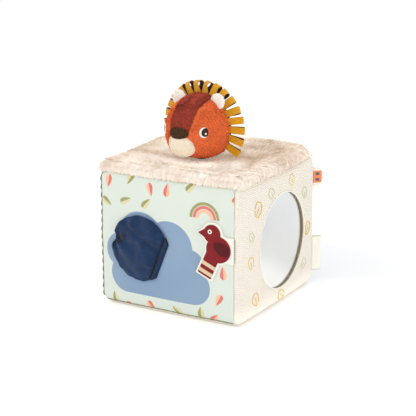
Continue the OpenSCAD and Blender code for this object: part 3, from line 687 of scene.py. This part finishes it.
settle(pad)
start = np.array([v.co for v in pad.data.vertices])
outward = np.array([-(p[1] / mm) - outFront(p[0] / mm, p[2] / mm) for p in start])
held = pad.vertex_groups.new(name="held")
held.add([i for i, h in enumerate(outward) if h < flap["held"]], 1.0, "REPLACE")
cloth = pad.modifiers.new("puff", "CLOTH")
for key, value in {"quality": 8, "mass": 0.12, "tension_stiffness": 18, "compression_stiffness": 18,
                   "bending_stiffness": 0.15, "vertex_group_mass": "held", "shrink_min": -0.13,
                   "use_pressure": True, "uniform_pressure_force": 1.6}.items():
    setattr(cloth.settings, key, value)
cloth.settings.effector_weights.gravity = 0
cloth.point_cache.frame_start, cloth.point_cache.frame_end = 1, flap["steps"]
for step in range(1, flap["steps"] + 1):
    bpy.context.scene.frame_set(step)
settle(pad)
bpy.context.scene.frame_set(1)
rounded(pad.data)


def flapFolds(x, z):  # a pinched place at the far edge with gathers fanning out of it, and one long crease
    dx, dz = x - flap["x"], z - flap["z"]
    u, v = dx * leanC - dz * leanS, dx * leanS + dz * leanC
    side = u + flap["r"]
    far, turn = hypot(side, v + 3), atan2(v + 3, side)
    rim = max(0.0, 1 - hypot(u, v) / flap["r"]) + max(0.0, (flap["hinge"] - u) / 60)
    inward, beside = side * 0.68 + (v + 5) * 0.73, (v + 5) * 0.68 - side * 0.73
    valley = 4.2 * exp(-(beside / 3.2) ** 2 - (max(inward, 0) / 17) ** 2)
    gather = 2.2 * sin(turn * 7 + 0.6) * exp(-far / 24) * min(1, far / 5)
    crease = 1.8 * exp(-((v - 12 + 0.12 * u) / 1.8) ** 2) * min(1, rim * 4)
    slack = 2.2 * noise.noise(Vector((u / 9, v / 15, 2.0))) + 0.8 * noise.noise(Vector((u / 4, v / 6, 7.0)))
    return valley + gather + crease + slack * min(1, rim * 3)


for vert, rest, h in zip(pad.data.vertices, start, outward):  # keeps the puff within the flap's own room
    if h > flap["held"]:
        x, y, z = vert.co / mm
        over = max(-y - outFront(x, z) - flap["high"], 0)
        top = flap["high"] + flap["puff"] * (1 - exp(-over / 4.5)) - flapFolds(x, z)
        side = Vector((rest[0], 0, rest[2])) / mm
        vert.co = Vector((side.x + np.clip(x - side.x, -2, 2), -(outFront(x, z) + max(top, 1.5)),
                          side.z + np.clip(z - side.z, -2, 2))) * mm
soft = pad.modifiers.new("soft", "SMOOTH")
soft.factor, soft.iterations = 0.5, 5
smooth = pad.modifiers.new("smooth", "SUBSURF")
smooth.levels = smooth.render_levels = 1
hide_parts("flap_face", "flap_film")

rows, columns = 30, 36
u, v = discGrid(rows, columns)
lining = pieceOf("flap_lining_cloth", onFlap(u, v, 0.75 + 0.15 * ripple(u, v, 11)),
                 gridFaces(rows, columns, flip=True), [plainLook("lining_cotton", flap["lining"])], "flap")
thicken(lining, 0.6, 0)
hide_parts("flap_lining")

rows, columns = 9, 60
u = np.linspace(flap["hinge"], flap["edge"], rows)[:, None]
v = np.linspace(-1, 1, columns)[None, :] * np.sqrt(flap["r"] ** 2 - u ** 2)
swell = np.sin(np.linspace(0, 1, rows) * pi)[:, None] ** 0.45
dent = np.exp(-((u - flap["hinge"] - flap["stitch"]) / 0.6) ** 2)
puff = 0.15 + 2.6 * swell * (1 - 0.25 * dent) + 0.12 * ripple(u * 2, v, 6)
faces = gridFaces(rows, columns, flip=True) + gridFaces(rows, columns, first=v.size)
hem = pieceOf("flap_hem_cloth", np.concatenate([onFlap(u, v, puff), onFlap(u, v, 0.1)]), faces, [velour],
              "cube")
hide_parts("flap_hem")


def stitches(name, lines, colour, long=2.4, gap=0.9, thick=0.38):  # one rod for each stitch
    points, faces = [], []
    for path in lines:
        full = runOf(path)[-1]
        for begin in np.arange(0, full - long * 0.6, long + gap):
            spine = walk(path, np.linspace(begin, min(begin + long, full), 5))
            p, f = tube(spine, thick * np.array([0.45, 0.9, 1.0, 0.9, 0.45]), 6)
            faces += [[i + len(points) for i in face] for face in f]
            points += p.tolist()
    look = Look(name, roughness=0.7, sheen=0.3)
    x, y, z = look.axes()
    ply = look.turned(x + y + z * 1.3, 0.5)
    tone = look.blend(ply * 0.3 + look.cloud(4) * 0.3 + 0.4, shadeOf(colour, 0.72), colour)
    pieceOf(name, points, faces, [look.surface(tone, ply, 0.06)], "cube")


rows, columns = 9, 50
u = np.linspace(flap["hinge"] + flap["stitch"], flap["hinge"] - 2.0, rows)[:, None]
v = np.linspace(-1, 1, columns)[None, :] * (flap["half"] + 0.2)
bridge = pieceOf("flap_hinge_cloth", onFlap(u, v, 1.15 + 0.25 * abs(u - flap["hinge"])),
                 gridFaces(rows, columns), [velour], None)
ends = onFlap(np.array([flap["hinge"] + 1.2, flap["hinge"] - 1.6]), 0.0, flap["low"]) * mm
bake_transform(bridge)
v = np.linspace(-1, 1, 80) * flap["half"]
stitches("hem_stitch", [onFlap(flap["hinge"] + flap["stitch"], v, flap["high"])], flap["thread"])

print("stage: felt bird, tag and label")


def feltLook(name, colour, deep=0.7, eye=None):
    look = Look(name, roughness=0.95, sheen=0.3)
    fluff = look.cloud(0.8, 5.0)
    tone = look.blend(fluff * 0.55 + look.cloud(7, 2.0) * 0.3, shadeOf(colour, deep), colour)
    if eye:
        x, y, z = look.axes()
        far = look.away(look.flat(x, z), eye)
        tone = look.blend(look.ease(far, 2.3, 2.0), tone, bird["eye"])
        tone = look.blend(look.ease(far, 1.2, 1.0), tone, bird["pupil"])
    return look.surface(tone, fluff + look.cloud(0.3, 2.0) * 0.5, 0.25)


def softened(node, name, mat, body, voxel=0.35,
             turns=3):  # cloth over its own solid
    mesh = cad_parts[node].data.copy()
    mesh.materials.clear()
    mesh.materials.append(mat)
    made = linked(name, mesh)
    remesh = made.modifiers.new("remesh", "REMESH")
    remesh.mode, remesh.voxel_size, remesh.use_smooth_shade = "VOXEL", voxel * mm, True
    soft = made.modifiers.new("soft", "SMOOTH")
    soft.factor, soft.iterations = 0.5, turns
    settle(made)
    rounded(made.data)
    made.data.polygons.foreach_set("material_index", np.zeros(len(made.data.polygons), np.int32))
    if not made.data.materials:
        made.data.materials.append(mat)
    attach(made, body)
    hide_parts(node)


bird = {"back": tint(248, 243, 233), "body": tint(138, 28, 34), "wing": tint(92, 16, 24),
        "bands": tint(234, 208, 170), "eye": tint(248, 240, 224), "pupil": tint(30, 20, 20)}
softened("figure_back", "bird_backing", feltLook("ivory_felt", bird["back"], 0.86), "figure",
         0.45, 6)
softened("figure_body", "bird_body", feltLook("burgundy_felt", bird["body"], eye=(49.5, 95, 0)), "figure")
softened("figure_wing", "bird_wing", feltLook("dark_felt", bird["wing"]), "figure",
         0.3)
softened("figure_tail", "bird_bands", feltLook("beige_felt", bird["bands"]), "figure")

tag = {"ground": tint(252, 232, 216), "band": tint(240, 122, 52), "dot": tint(24, 40, 76), "z": 117.0}
tagLook = Look("tag_satin", roughness=0.55, sheen=0.2, specular=0.35)
x, y, z = tagLook.axes()
far = abs(z - tag["z"])
tone = tagLook.blend(tagLook.ease(far, 6.6, 6.2), tag["ground"], tag["band"])
tone = tagLook.blend(tagLook.ease(tagLook.away(tagLook.flat(x, far), (83.0, 3.1, 0)), 1.8, 1.5), tone,
                     tag["dot"])
tone = tagLook.blend(tagLook.cloud(3) * 0.25, tone, shadeOf(tag["ground"], 0.75))
tagMat = tagLook.surface(tone, tagLook.turned(z, 0.5), 0.08)
softened("seam_tag", "tag_cloth", tagMat, "tag", 0.4,
         4)

label = {"ground": tint(252, 250, 238), "edge": tint(206, 214, 176), "thread": tint(214, 210, 186), "z": 34.0}
labelLook = Look("label_ribbon", roughness=0.8, sheen=0.2)
x, y, z = labelLook.axes()
threads = weave(labelLook, z, x + y, 0.5)
tone = labelLook.blend(labelLook.ease(abs(z - label["z"]), 17.6, 18.2), label["ground"], label["edge"])
tone = labelLook.blend((1 - threads) * 0.2 + labelLook.cloud(9) * 0.1, tone, label["thread"])
labelMat = labelLook.surface(tone, threads, 0.12)
softened("seam_label", "label_cloth", labelMat, "label",
         0.4, 4)

print("stage: embroidery")

embroidery = {"mustard": tint(252, 200, 16), "green": tint(214, 224, 180), "long": 2.1, "gap": 0.3,
              "gold": ((-50, 112, 8.5, -25, 0.8), (-52, 22, 7.5, 35, 0.85), (22, 126, 7, 50, 0.8),
                       (60, 66, 7.5, -20, 0.8), (2, 11.5, 7, 70, 0.85), (-63, 62, 6.5, 15, 0.85)),
              "pale": ((-22, 122, 6.5, 40, 0.75), (52, 106, 6.5, 15, 0.8), (52, 30, 6.5, -60, 0.8),
                       (-62, 88, 5.5, 40, 0.8))}


def leafLines(leaves):  # open drop outlines with a vein, on the right wall
    lines = []
    for y, z, size, turn, share in leaves:
        t, vein = np.linspace(-1, 1, 40) * pi * share, np.linspace(-0.9, 0.35, 12) * size
        c, s = cos(radians(turn)), sin(radians(turn))
        outline = size * 0.95 * np.sin(t) * (0.75 + 0.25 * np.cos(t)), size * np.cos(t)
        for p, q in (outline, (0.1 * size * np.sin(vein / size * 3), vein)):
            yy, zz = y + p * c - q * s, z + p * s + q * c
            lines.append(np.stack([outRight(yy, zz) + 0.3, yy, zz], axis=1))
    return lines


for name, colour, thick in (("gold", "mustard", 0.45), ("pale", "green", 0.42)):
    stitches(name + "_embroidery", leafLines(embroidery[name]), embroidery[colour],
             embroidery["long"], embroidery["gap"], thick)

print("stage: head")

head = {"r": 32.0, "face": 44.0, "nape": 18.0, "y": -16.0, "z": 181.4, "orange": tint(236, 112, 62),
        "brow": tint(170, 70, 55), "cream": tint(249, 234, 211), "nose": tint(78, 54, 36),
        "maroon": tint(78, 24, 20), "orangeSheen": tint(250, 150, 96), "maroonSheen": tint(120, 52, 44),
        "plush": 1.2}
browLine = {"z": [-1.5, 3, 8, 14, 20, 26, 31], "half": [9.2, 11.0, 12.2, 12.6, 12.9, 13.6, 14.6]}


def plushLook(name, colour, warm):
    look = Look(name, roughness=0.92, sheen=0.5)
    nap, patch = look.cloud(1.0, 5.0), look.cloud(11)
    tone = look.blend(nap * 0.55 + patch * 0.45, shadeOf(colour, 0.62), shadeOf(colour, 1.12))
    return look.surface(tone, nap, 0.5, Sheen_Tint=warm)


def browEdge(r):  # half angle of the brow patch on a ring of that radius
    turn = np.linspace(0, pi, 721)
    x, z = r * np.sin(turn), r * np.cos(turn)
    inside = (x <= np.interp(z, browLine["z"], browLine["half"])) & (z >= browLine["z"][0])
    return turn[inside].max() if inside.any() else 0.0


def jowl(turn):  # the head is fuller at the lower cheeks and slimmer at the temples
    far = np.degrees(abs(turn))
    return 1 + 0.085 * np.exp(-((far - 130) / 30) ** 2) - 0.03 * np.exp(-((far - 62) / 34) ** 2)


def ballWays(ring, turn):  # directions on a ball whose pole points to the front
    ring, turn = np.broadcast_arrays(ring, turn)
    return np.stack([np.sin(ring) * np.sin(turn), -np.cos(ring), np.sin(ring) * np.cos(turn)], axis=-1)


def headPoint(ring, turn, sink):
    reach = np.where(ring < pi / 2, head["face"], head["nape"])
    x, y, z = np.moveaxis(ballWays(ring, turn), -1, 0)
    full = head["r"] * jowl(turn)
    p = np.stack([full * x, head["y"] + reach * y, head["z"] + full * z], axis=-1)
    n = unit(np.stack([x / head["r"], y / reach, z / head["r"]], axis=-1))
    x, y, z = np.moveaxis(p, -1, 0)
    lumps = 0.5 * ripple(x + y, z, 15, 3.0) + 0.2 * ripple(x - y, z, 5, 8.0)
    return p + n * (lumps + sink)[..., None], n


def groove(far, deep=0.9):
    return -deep * np.exp(-(far / 1.6) ** 2)


rings = np.linspace(0.03, pi / 2, 64)[:, None]
bounds = np.array([browEdge(head["r"] * sin(r)) for r in rings[:, 0]])[:, None]
ringSink, ringR = groove((pi / 2 - rings) * 38), head["r"] * np.sin(rings)
share = np.linspace(-1, 1, 61)[None, :]
sink = groove((1 - abs(share)) * bounds * ringR) + ringSink
headSurface = {"brow_patch": headPoint(rings, bounds * share, sink)}
turn = bounds + (pi - bounds) * np.linspace(0, 1, 81)[None, :]
sink = groove((turn - bounds) * ringR) + groove((pi - turn) * ringR) + ringSink
headSurface["left_cheek"] = headPoint(rings, turn, sink)
headSurface["right_cheek"] = headPoint(rings, -turn, sink)
rings = np.linspace(pi / 2 + 0.02, pi - 0.03, 34)[:, None]
share = np.linspace(-1, 1, 151)[None, :]
sink = groove((rings - pi / 2) * 28) + groove((1 - abs(share)) * pi * head["r"] * np.sin(rings), 0.6)
headSurface["head_back"] = headPoint(rings, pi * share, sink)


def egg(centre, radii, stop):  # rings round an axis that points to the front
    way = ballWays(np.linspace(0.03, stop, 26)[:, None], np.linspace(-pi, pi, 48)[None, :])
    return np.array(centre) + way * radii, unit(way / np.array(radii))


muzzle = {"drop": 11.8, "r": 14.2, "half": 15}
nose = {"y": -58, "drop": 1.5, "radii": (10, 6.5, 6.5)}
muzzleY = head["y"] - head["face"] * sqrt(1 - (muzzle["drop"] / head["r"]) ** 2) + 8
headSurface["muzzle"] = egg((0, muzzleY, head["z"] - muzzle["drop"]),
                            (muzzle["r"], muzzle["half"], muzzle["r"]), 2.0)
headSurface["nose"] = egg((0, nose["y"], head["z"] - nose["drop"]), nose["radii"], 2.2)
noseGrid = headSurface["nose"][0]
noseGrid[..., 0] *= 1 - 0.3 * ramp((head["z"] - nose["drop"] - noseGrid[..., 2]) / nose["radii"][2]) ** 1.5

plush = {"brow_patch": (head["brow"], tint(206, 120, 104), "brow_plush", 9500, 2.0),
         "left_cheek": (head["orange"], head["orangeSheen"], "orange_plush", 15000, 2.0),
         "right_cheek": (head["orange"], head["orangeSheen"], "orange_plush", 15000, 2.0),
         "head_back": (head["maroon"], head["maroonSheen"], "maroon_plush", 16000, 2.2),
         "muzzle": (head["cream"], tint(255, 246, 234), "cream_plush", 6000, 1.7),
         "nose": (head["nose"], tint(120, 90, 66), "nose_plush", 4000, 1.4)}
eyes = {"x": 21.5, "z": head["z"] - 0.5, "r": 5.2, "iris": tint(62, 40, 28), "pupil": tint(28, 18, 14),
        "white": tint(250, 246, 240)}


def fuzz(name, points, normals, colour, count, length, shades, glow):  # short pile, combed down
    columns = points.shape[1] - 1
    corners = points[:-1, :-1]
    areas = np.linalg.norm(np.cross(points[1:, :-1] - corners, points[:-1, 1:] - corners), axis=-1).ravel()
    cell = dice.choice(len(areas), count, p=areas / areas.sum())
    i, j = cell // columns, cell % columns
    a, b = dice.uniform(0, 1, (2, count, 1))
    shares = ((0, 0, (1 - a) * (1 - b)), (1, 0, a * (1 - b)), (0, 1, (1 - a) * b), (1, 1, a * b))
    roots, ups = (sum(g[i + p, j + q] * w for p, q, w in shares) for g in (points, normals))
    x, y, z = roots.T
    bare = ((abs(x) - eyes["x"]) / 3.3) ** 2 + ((z - eyes["z"]) / 5.6) ** 2 < 1  # no pile under the sewn eyes
    bare &= y < head["y"]
    roots, ups, count = roots[~bare], ups[~bare], count - bare.sum()
    x, y, z = roots.T
    comb = np.column_stack([0.9 * ripple(x, z, 9, 1.0), np.full(count, 0.35),
                            -0.8 + 0.6 * ripple(z, x, 8, 6.0)])
    comb = unit(comb - ups * np.sum(comb * ups, axis=1, keepdims=True))
    ways = unit(ups * 0.6 + comb * 0.9 + dice.normal(0, 0.25, roots.shape))
    mats = [strandLook(name + "_%d" % k, shadeOf(colour, s), glow) for k, s in enumerate(shades)]
    grain = ripple(x * 1.2 + y * 0.6, z, 1.5, 21.0) * 2.3
    soft = ripple(x, z, 10, 12.0) * 0.8 + grain + dice.normal(0, 0.3, count) + 1.95
    tones = np.clip(np.floor(soft), 0, 3).astype(int)
    strands(name, roots - ups * 0.3, ups, ways, dice.uniform(0.7, 1.25, count) * length, 0.42, mats, tones,
            "head", comb * 0.1 - ups * 0.12, 2, 0.8)


for node, (points, normals) in headSurface.items():
    colour, warm, slot, count, length = plush[node]
    made = pieceOf(node + "_plush", points, gridFaces(*points.shape[:2], flip=node == "right_cheek"),
                   [plushLook(node + "_ground", colour, warm)], "head")
    thicken(made, head["plush"])
    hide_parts(node)
    pale = node == "muzzle"
    shades = (0.84, 0.95, 1.03, 1.08) if pale else (0.55, 0.84, 1.12, 1.45)
    # painted light: the muzzle's pile glows a little; the other pile does not
    fuzz(node + "_pile", points, normals, colour, count, length, shades, 0.08 * pale)

ears = {"r": 7.5, "thick": 5.0, "angle": radians(40), "colour": tint(254, 247, 240),
        "sheen": tint(255, 246, 238), "cup": 1.3, "count": 3600, "length": 1.6,
        "shades": (0.9, 0.97, 1.03, 1.06), "glow": 0.14}
for side, node in ((1, "left_ear"), (-1, "right_ear")):
    rows, columns = 30, 48
    ring, turn = np.linspace(0.05, pi - 0.05, rows)[:, None], np.linspace(-pi, pi, columns)[None, :]
    way = ballWays(ring, turn)
    cup = np.where(ring < pi / 2, ears["cup"] * (1 - np.sin(ring) ** 2), 0.0)
    deep = cup - ears["thick"] / 2 * np.cos(ring) * (0.6 + 0.4 * np.sin(ring)) + 0 * turn
    local = np.stack([ears["r"] * way[..., 0], deep, ears["r"] * way[..., 2] + head["r"] + 2], axis=-1)
    c, s = cos(ears["angle"] * side), sin(ears["angle"] * side)
    spin = np.array([[c, 0, s], [0, 1, 0], [-s, 0, c]])
    points = local @ spin.T + np.array([0, head["y"] - 6, head["z"]])
    normals = unit(way * [0.5, 1, 0.5]) @ spin.T
    ear = pieceOf(node + "_plush", points, gridFaces(rows, columns),
                  [plushLook(node + "_ground", ears["colour"], ears["sheen"])], "head")
    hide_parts(node)
    # painted light: the ear pile glows, lifting its shade
    fuzz(node + "_pile", points, normals, ears["colour"], ears["count"], ears["length"],
         ears["shades"], ears["glow"])


def eyeLook(name, side):  # satin stitch: a dark oval in a pale crescent, with a glint
    look = Look(name, roughness=0.6, specular=0.25)
    x, y, z = look.axes()
    flat = look.flat((x - side * (eyes["x"] + 1.35)) * 1.75, z - eyes["z"])
    tone = look.blend(look.ease(look.away(flat, (side * 0.75, 0.35, 0)), 4.5, 4.2), eyes["white"],
                      eyes["pupil"])
    tone = look.blend(look.ease(look.away(flat, (side * 0.7, 0.6, 0)), 3.4, 2.2) * 0.5, tone, eyes["iris"])
    tone = look.blend(look.ease(look.away(flat, (side * 1.5, -0.9, 0)), 1.15, 0.9), tone, eyes["white"])
    threads = look.turned(z + x * 0.2, 0.45)
    tone = look.blend(threads * 0.08, tone, shadeOf(eyes["iris"], 1.4))
    return look.surface(tone, threads, 0.12)


for side, node in ((1, "left_eye"), (-1, "right_eye")):
    rows, columns = 14, 40
    rho, turn = np.linspace(0, 1, rows)[:, None], circle(columns)[None, :]
    x = side * eyes["x"] + eyes["r"] * 0.57 * rho * np.cos(turn)
    z = eyes["z"] + eyes["r"] * 1.02 * rho * np.sin(turn)
    share = np.sqrt(np.maximum(1 - (x ** 2 + (z - head["z"]) ** 2) / head["r"] ** 2, 0.01))
    n = unit(np.stack([x / head["r"] ** 2, -share / head["face"], (z - head["z"]) / head["r"] ** 2], axis=-1))
    surface = np.stack([x, head["y"] - head["face"] * share, z], axis=-1)
    dome = surface + n * (0.6 + 0.9 * np.sqrt(1 - rho ** 2 * 0.98))[..., None]
    dome[-1] = (surface + n * 0.2)[-1]
    eye = pieceOf(node + "_thread", dome, gridFaces(rows, columns, loop=True, flip=True),
                  [eyeLook(node + "_satin", side)], "head")
    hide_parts(node)

print("stage: ribbon mane")

mane = {"count": 18, "step": 14.5, "wide": 7.2, "thick": 0.55, "lean": 18, "crown": (4.5, 7.6),
        "side": (2.4, 12.4), "gap": 0.45, "turns": 26, "columns": 7, "gold": tint(238, 168, 6),
        "dark": tint(74, 20, 16)}


def ribbonLook(name, colour):
    look = Look(name, roughness=0.75, sheen=0.3)
    x, y, z = look.axes()
    grain = look.ease(look.cloud(0.9), 0.36, 0.64)
    ribs = look.turned(x * 0.7 + z * 0.7 + y, 0.6)
    tone = look.blend(grain * 0.55 + look.cloud(5) * 0.3 + ribs * 0.15, shadeOf(colour, 0.62),
                      shadeOf(colour, 1.12))
    return look.surface(tone, ribs + grain, 0.15)


def stripFaces(rows, columns):  # a closed strip; its inner face has slot 1
    under, last = rows * columns, (rows - 1) * columns
    faces = gridFaces(rows, columns) + gridFaces(rows, columns, flip=True, first=under)
    slots = np.repeat([0, 1], len(faces) // 2).tolist()
    for j in (0, columns - 1):
        for k in range(j, last, columns):
            face = [k, under + k, under + k + columns, k + columns]
            faces.append(face if j == 0 else face[::-1])
    for j in range(columns - 1):
        for k in ([j, j + 1], [last + j + 1, last + j]):
            faces.append(k + [under + k[1], under + k[0]])
    return faces, slots + [0] * (len(faces) - len(slots))


ribbons = [ribbonLook("mustard_ribbon", mane["gold"]), ribbonLook("dark_ribbon", mane["dark"])]
columns = np.linspace(-0.5, 0.5, mane["columns"])[None, :] * mane["wide"]
faces, slots = stripFaces(mane["turns"] + 4, mane["columns"])
for i in range(mane["count"]):
    angle = (i - mane["count"] // 2 + 0.5) * mane["step"]
    share = min(1, abs(angle) / 80)
    radius, reach = (a + (b - a) * share for a, b in zip(mane["crown"], mane["side"]))
    radius -= mane["thick"] / 2
    swing = pi / 2 + asin((radius - mane["gap"]) / reach)
    arc = np.linspace(-swing, swing, mane["turns"])
    lean = radians(mane["lean"] + dice.uniform(-7, 7))
    skew = radians(30 * (1 - share) + dice.uniform(-12, 12))
    bow = np.stack([reach + radius * np.cos(arc), radius * np.sin(arc)], axis=1)
    path = np.concatenate([[[-1.6, -mane["gap"]], [0.2, -mane["gap"]]], bow,
                           [[0.2, mane["gap"]], [-1.6, mane["gap"]]]])
    ahead = unit(np.gradient(path, axis=0))
    outer = np.stack([ahead[:, 1], -ahead[:, 0]], axis=1) * mane["thick"] / 2
    tip = ramp(path[:, :1] / 1.5)
    bent = np.array([[cos(lean), sin(lean)], [-sin(lean), cos(lean)]])
    turn = radians(angle)
    radial, tangent = np.array([sin(turn), 0, cos(turn)]), np.array([cos(turn), 0, -sin(turn)])
    middle = np.array([0, head["y"] + 1.0, head["z"]]) + radial * (head["r"] * float(jowl(turn)))
    layers = []
    for sign in (1, -1):
        flat = path + sign * outer
        flat = flat * (1 - tip) + flat @ bent * tip
        across = flat[:, 1:] + 0.12 * np.cos(columns / mane["wide"] * pi) * sign
        twist = skew * ramp(flat[:, :1] / 8)
        depth, side = (across * np.cos(twist) - columns * np.sin(twist),
                       across * np.sin(twist) + columns * np.cos(twist))
        layers.append(middle + flat[:, :1, None] * radial + depth[..., None] * [0, 1, 0]
                      + side[..., None] * tangent)
    loop = pieceOf("ribbon_loop_%02d" % (i + 1), layers, faces, ribbons, "head", slots)
    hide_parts("mane_loop_%02d" % (i + 1))

collar = {"y": -12, "sides": 72,
          "rings": ((143.5, 8.2), (144.3, 8.9), (145.8, 8.6), (147.5, 8.7), (148.9, 8.0))}
turn, neckRings = circle(collar["sides"]), []
for h, r in collar["rings"]:
    wide = r + 0.25 * np.sin(turn * 14)
    neckRings.append(np.stack([wide * np.cos(turn), collar["y"] + wide * np.sin(turn), np.full(len(turn), h)],
                              axis=1))
points, faces = ringed(neckRings, top=True)
neck = pieceOf("neck_cloth", points, faces, [plushLook("neck_plush", head["maroon"], head["maroonSheen"])],
               "neck")
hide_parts("neck_collar")

print("stage: hidden pieces")


def innerLook(name, colour, rough=0.95):
    look = Look(name, roughness=rough)
    cells = look.cloud(1.6)
    return look.surface(look.blend(cells * 0.5, colour, shadeOf(colour, 0.8)), cells, 0.4)


for mat, nodes in ((innerLook("foam", tint(250, 246, 226)), ["foam_core"]),
                   (innerLook("wadding", tint(250, 250, 248)),
                    ["mirror_pad", "stuffing_front", "stuffing_back"]),
                   (innerLook("knit_backing", tint(236, 222, 204)), ["top_backing"]),
                   (innerLook("rattle_case", tint(236, 196, 60), 0.35),
                    ["rattle_case_front", "rattle_case_back"]),
                   (innerLook("rattle_bead", tint(214, 84, 40), 0.35), ["rattle_beads"])):
    for node in nodes:
        dress(node, mat)

print("stage: floor, light and camera")

studio = {"azimuth": 29.98, "elevation": 15.53, "distance": 1.2831, "target": 0.0911, "shift": -0.0013,
          "lens": 108.49, "sensor": 36.0, "floor": 6, "under": -0.0004, "glow": 0.2, "ambient": 0.8}
floorMesh = bpy.data.meshes.new("floor")
corners = [(x * studio["floor"], y * studio["floor"], studio["under"]) for x, y in square]
floorMesh.from_pydata(corners, [], [[0, 1, 2, 3]])
floor = linked("floor", floorMesh)
floorLook = Look("floor_paper", roughness=1.0, specular=0.0)
x, y, z = floorLook.axes()
near = floorLook.ease(floorLook.away(floorLook.place(), (0, 0, 0)), 520, 260)
behind = near * floorLook.ease(y * 0.87 - x * 0.5, 0, 60)  # painted light: the floor glows white, washing out shadows, except close behind the cube, where the shadows show
paper = floorLook.blend(floorLook.cloud(400, 2.0) * 0.1, tint(252, 252, 252), tint(246, 246, 246))
floorMesh.materials.append(floorLook.give(Base_Color=paper, Emission_Strength=studio["glow"],
                                          Emission_Color=floorLook.blend(behind, (1, 1, 1, 1), (0, 0, 0, 1))))

world = bpy.data.worlds.new("studio")
bpy.context.scene.world = world
world.use_nodes = True
tree = world.node_tree
backdrop, rays = tree.nodes["Background"], tree.nodes.new("ShaderNodeLightPath")
seen, seenToo = tree.nodes.new("ShaderNodeMath"), tree.nodes.new("ShaderNodeMath")
seen.operation = seenToo.operation = "MAXIMUM"
strength = tree.nodes.new("ShaderNodeMapRange")
strength.inputs["To Min"].default_value, strength.inputs["To Max"].default_value = studio["ambient"], 1.0
for source, target in ((rays.outputs["Is Camera Ray"], seen.inputs[0]),
                       (rays.outputs["Is Glossy Ray"], seen.inputs[1]), (seen.outputs[0], seenToo.inputs[0]),
                       (rays.outputs["Is Transmission Ray"], seenToo.inputs[1]),
                       (seenToo.outputs[0], strength.inputs["Value"]),
                       (strength.outputs[0], backdrop.inputs["Strength"])):
    tree.links.new(source, target)
backdrop.inputs["Color"].default_value = (1, 1, 1, 1)


def lamp(name, spot, aim, size, power, colour=(1, 1, 1)):
    data = bpy.data.lights.new(name, "AREA")
    data.size, data.energy, data.color = size, power, colour
    made = linked(name, data)
    made.location = spot
    made.rotation_euler = (Vector(aim) - Vector(spot)).to_track_quat("-Z", "Y").to_euler()


lamp("key", (-0.75, -1.25, 1.3), (0, 0, 0.09), 0.9, 7, (1.0, 0.985, 0.96))
lamp("fill", (1.5, -0.7, 0.7), (0, 0, 0.09), 1.1, 6, (0.98, 0.99, 1.0))
lamp("top", (0.1, 0.25, 1.6), (0, 0, 0.1), 0.9, 5)

a, e = radians(studio["azimuth"]), radians(studio["elevation"])
back = Vector((sin(a) * cos(e), -cos(a) * cos(e), sin(e)))
right = Vector((cos(a), sin(a), 0))
camData = bpy.data.cameras.new("camera")
camData.lens, camData.sensor_width = studio["lens"], studio["sensor"]
camera = linked("camera", camData)
camera.location = right * studio["shift"] + Vector((0, 0, studio["target"])) + back * studio["distance"]
camera.rotation_mode = "QUATERNION"
camera.rotation_quaternion = (-back).to_track_quat("-Z", "Y")
bpy.context.scene.camera = camera
bpy.context.scene.view_settings.view_transform = "Standard"

print("stage: done")
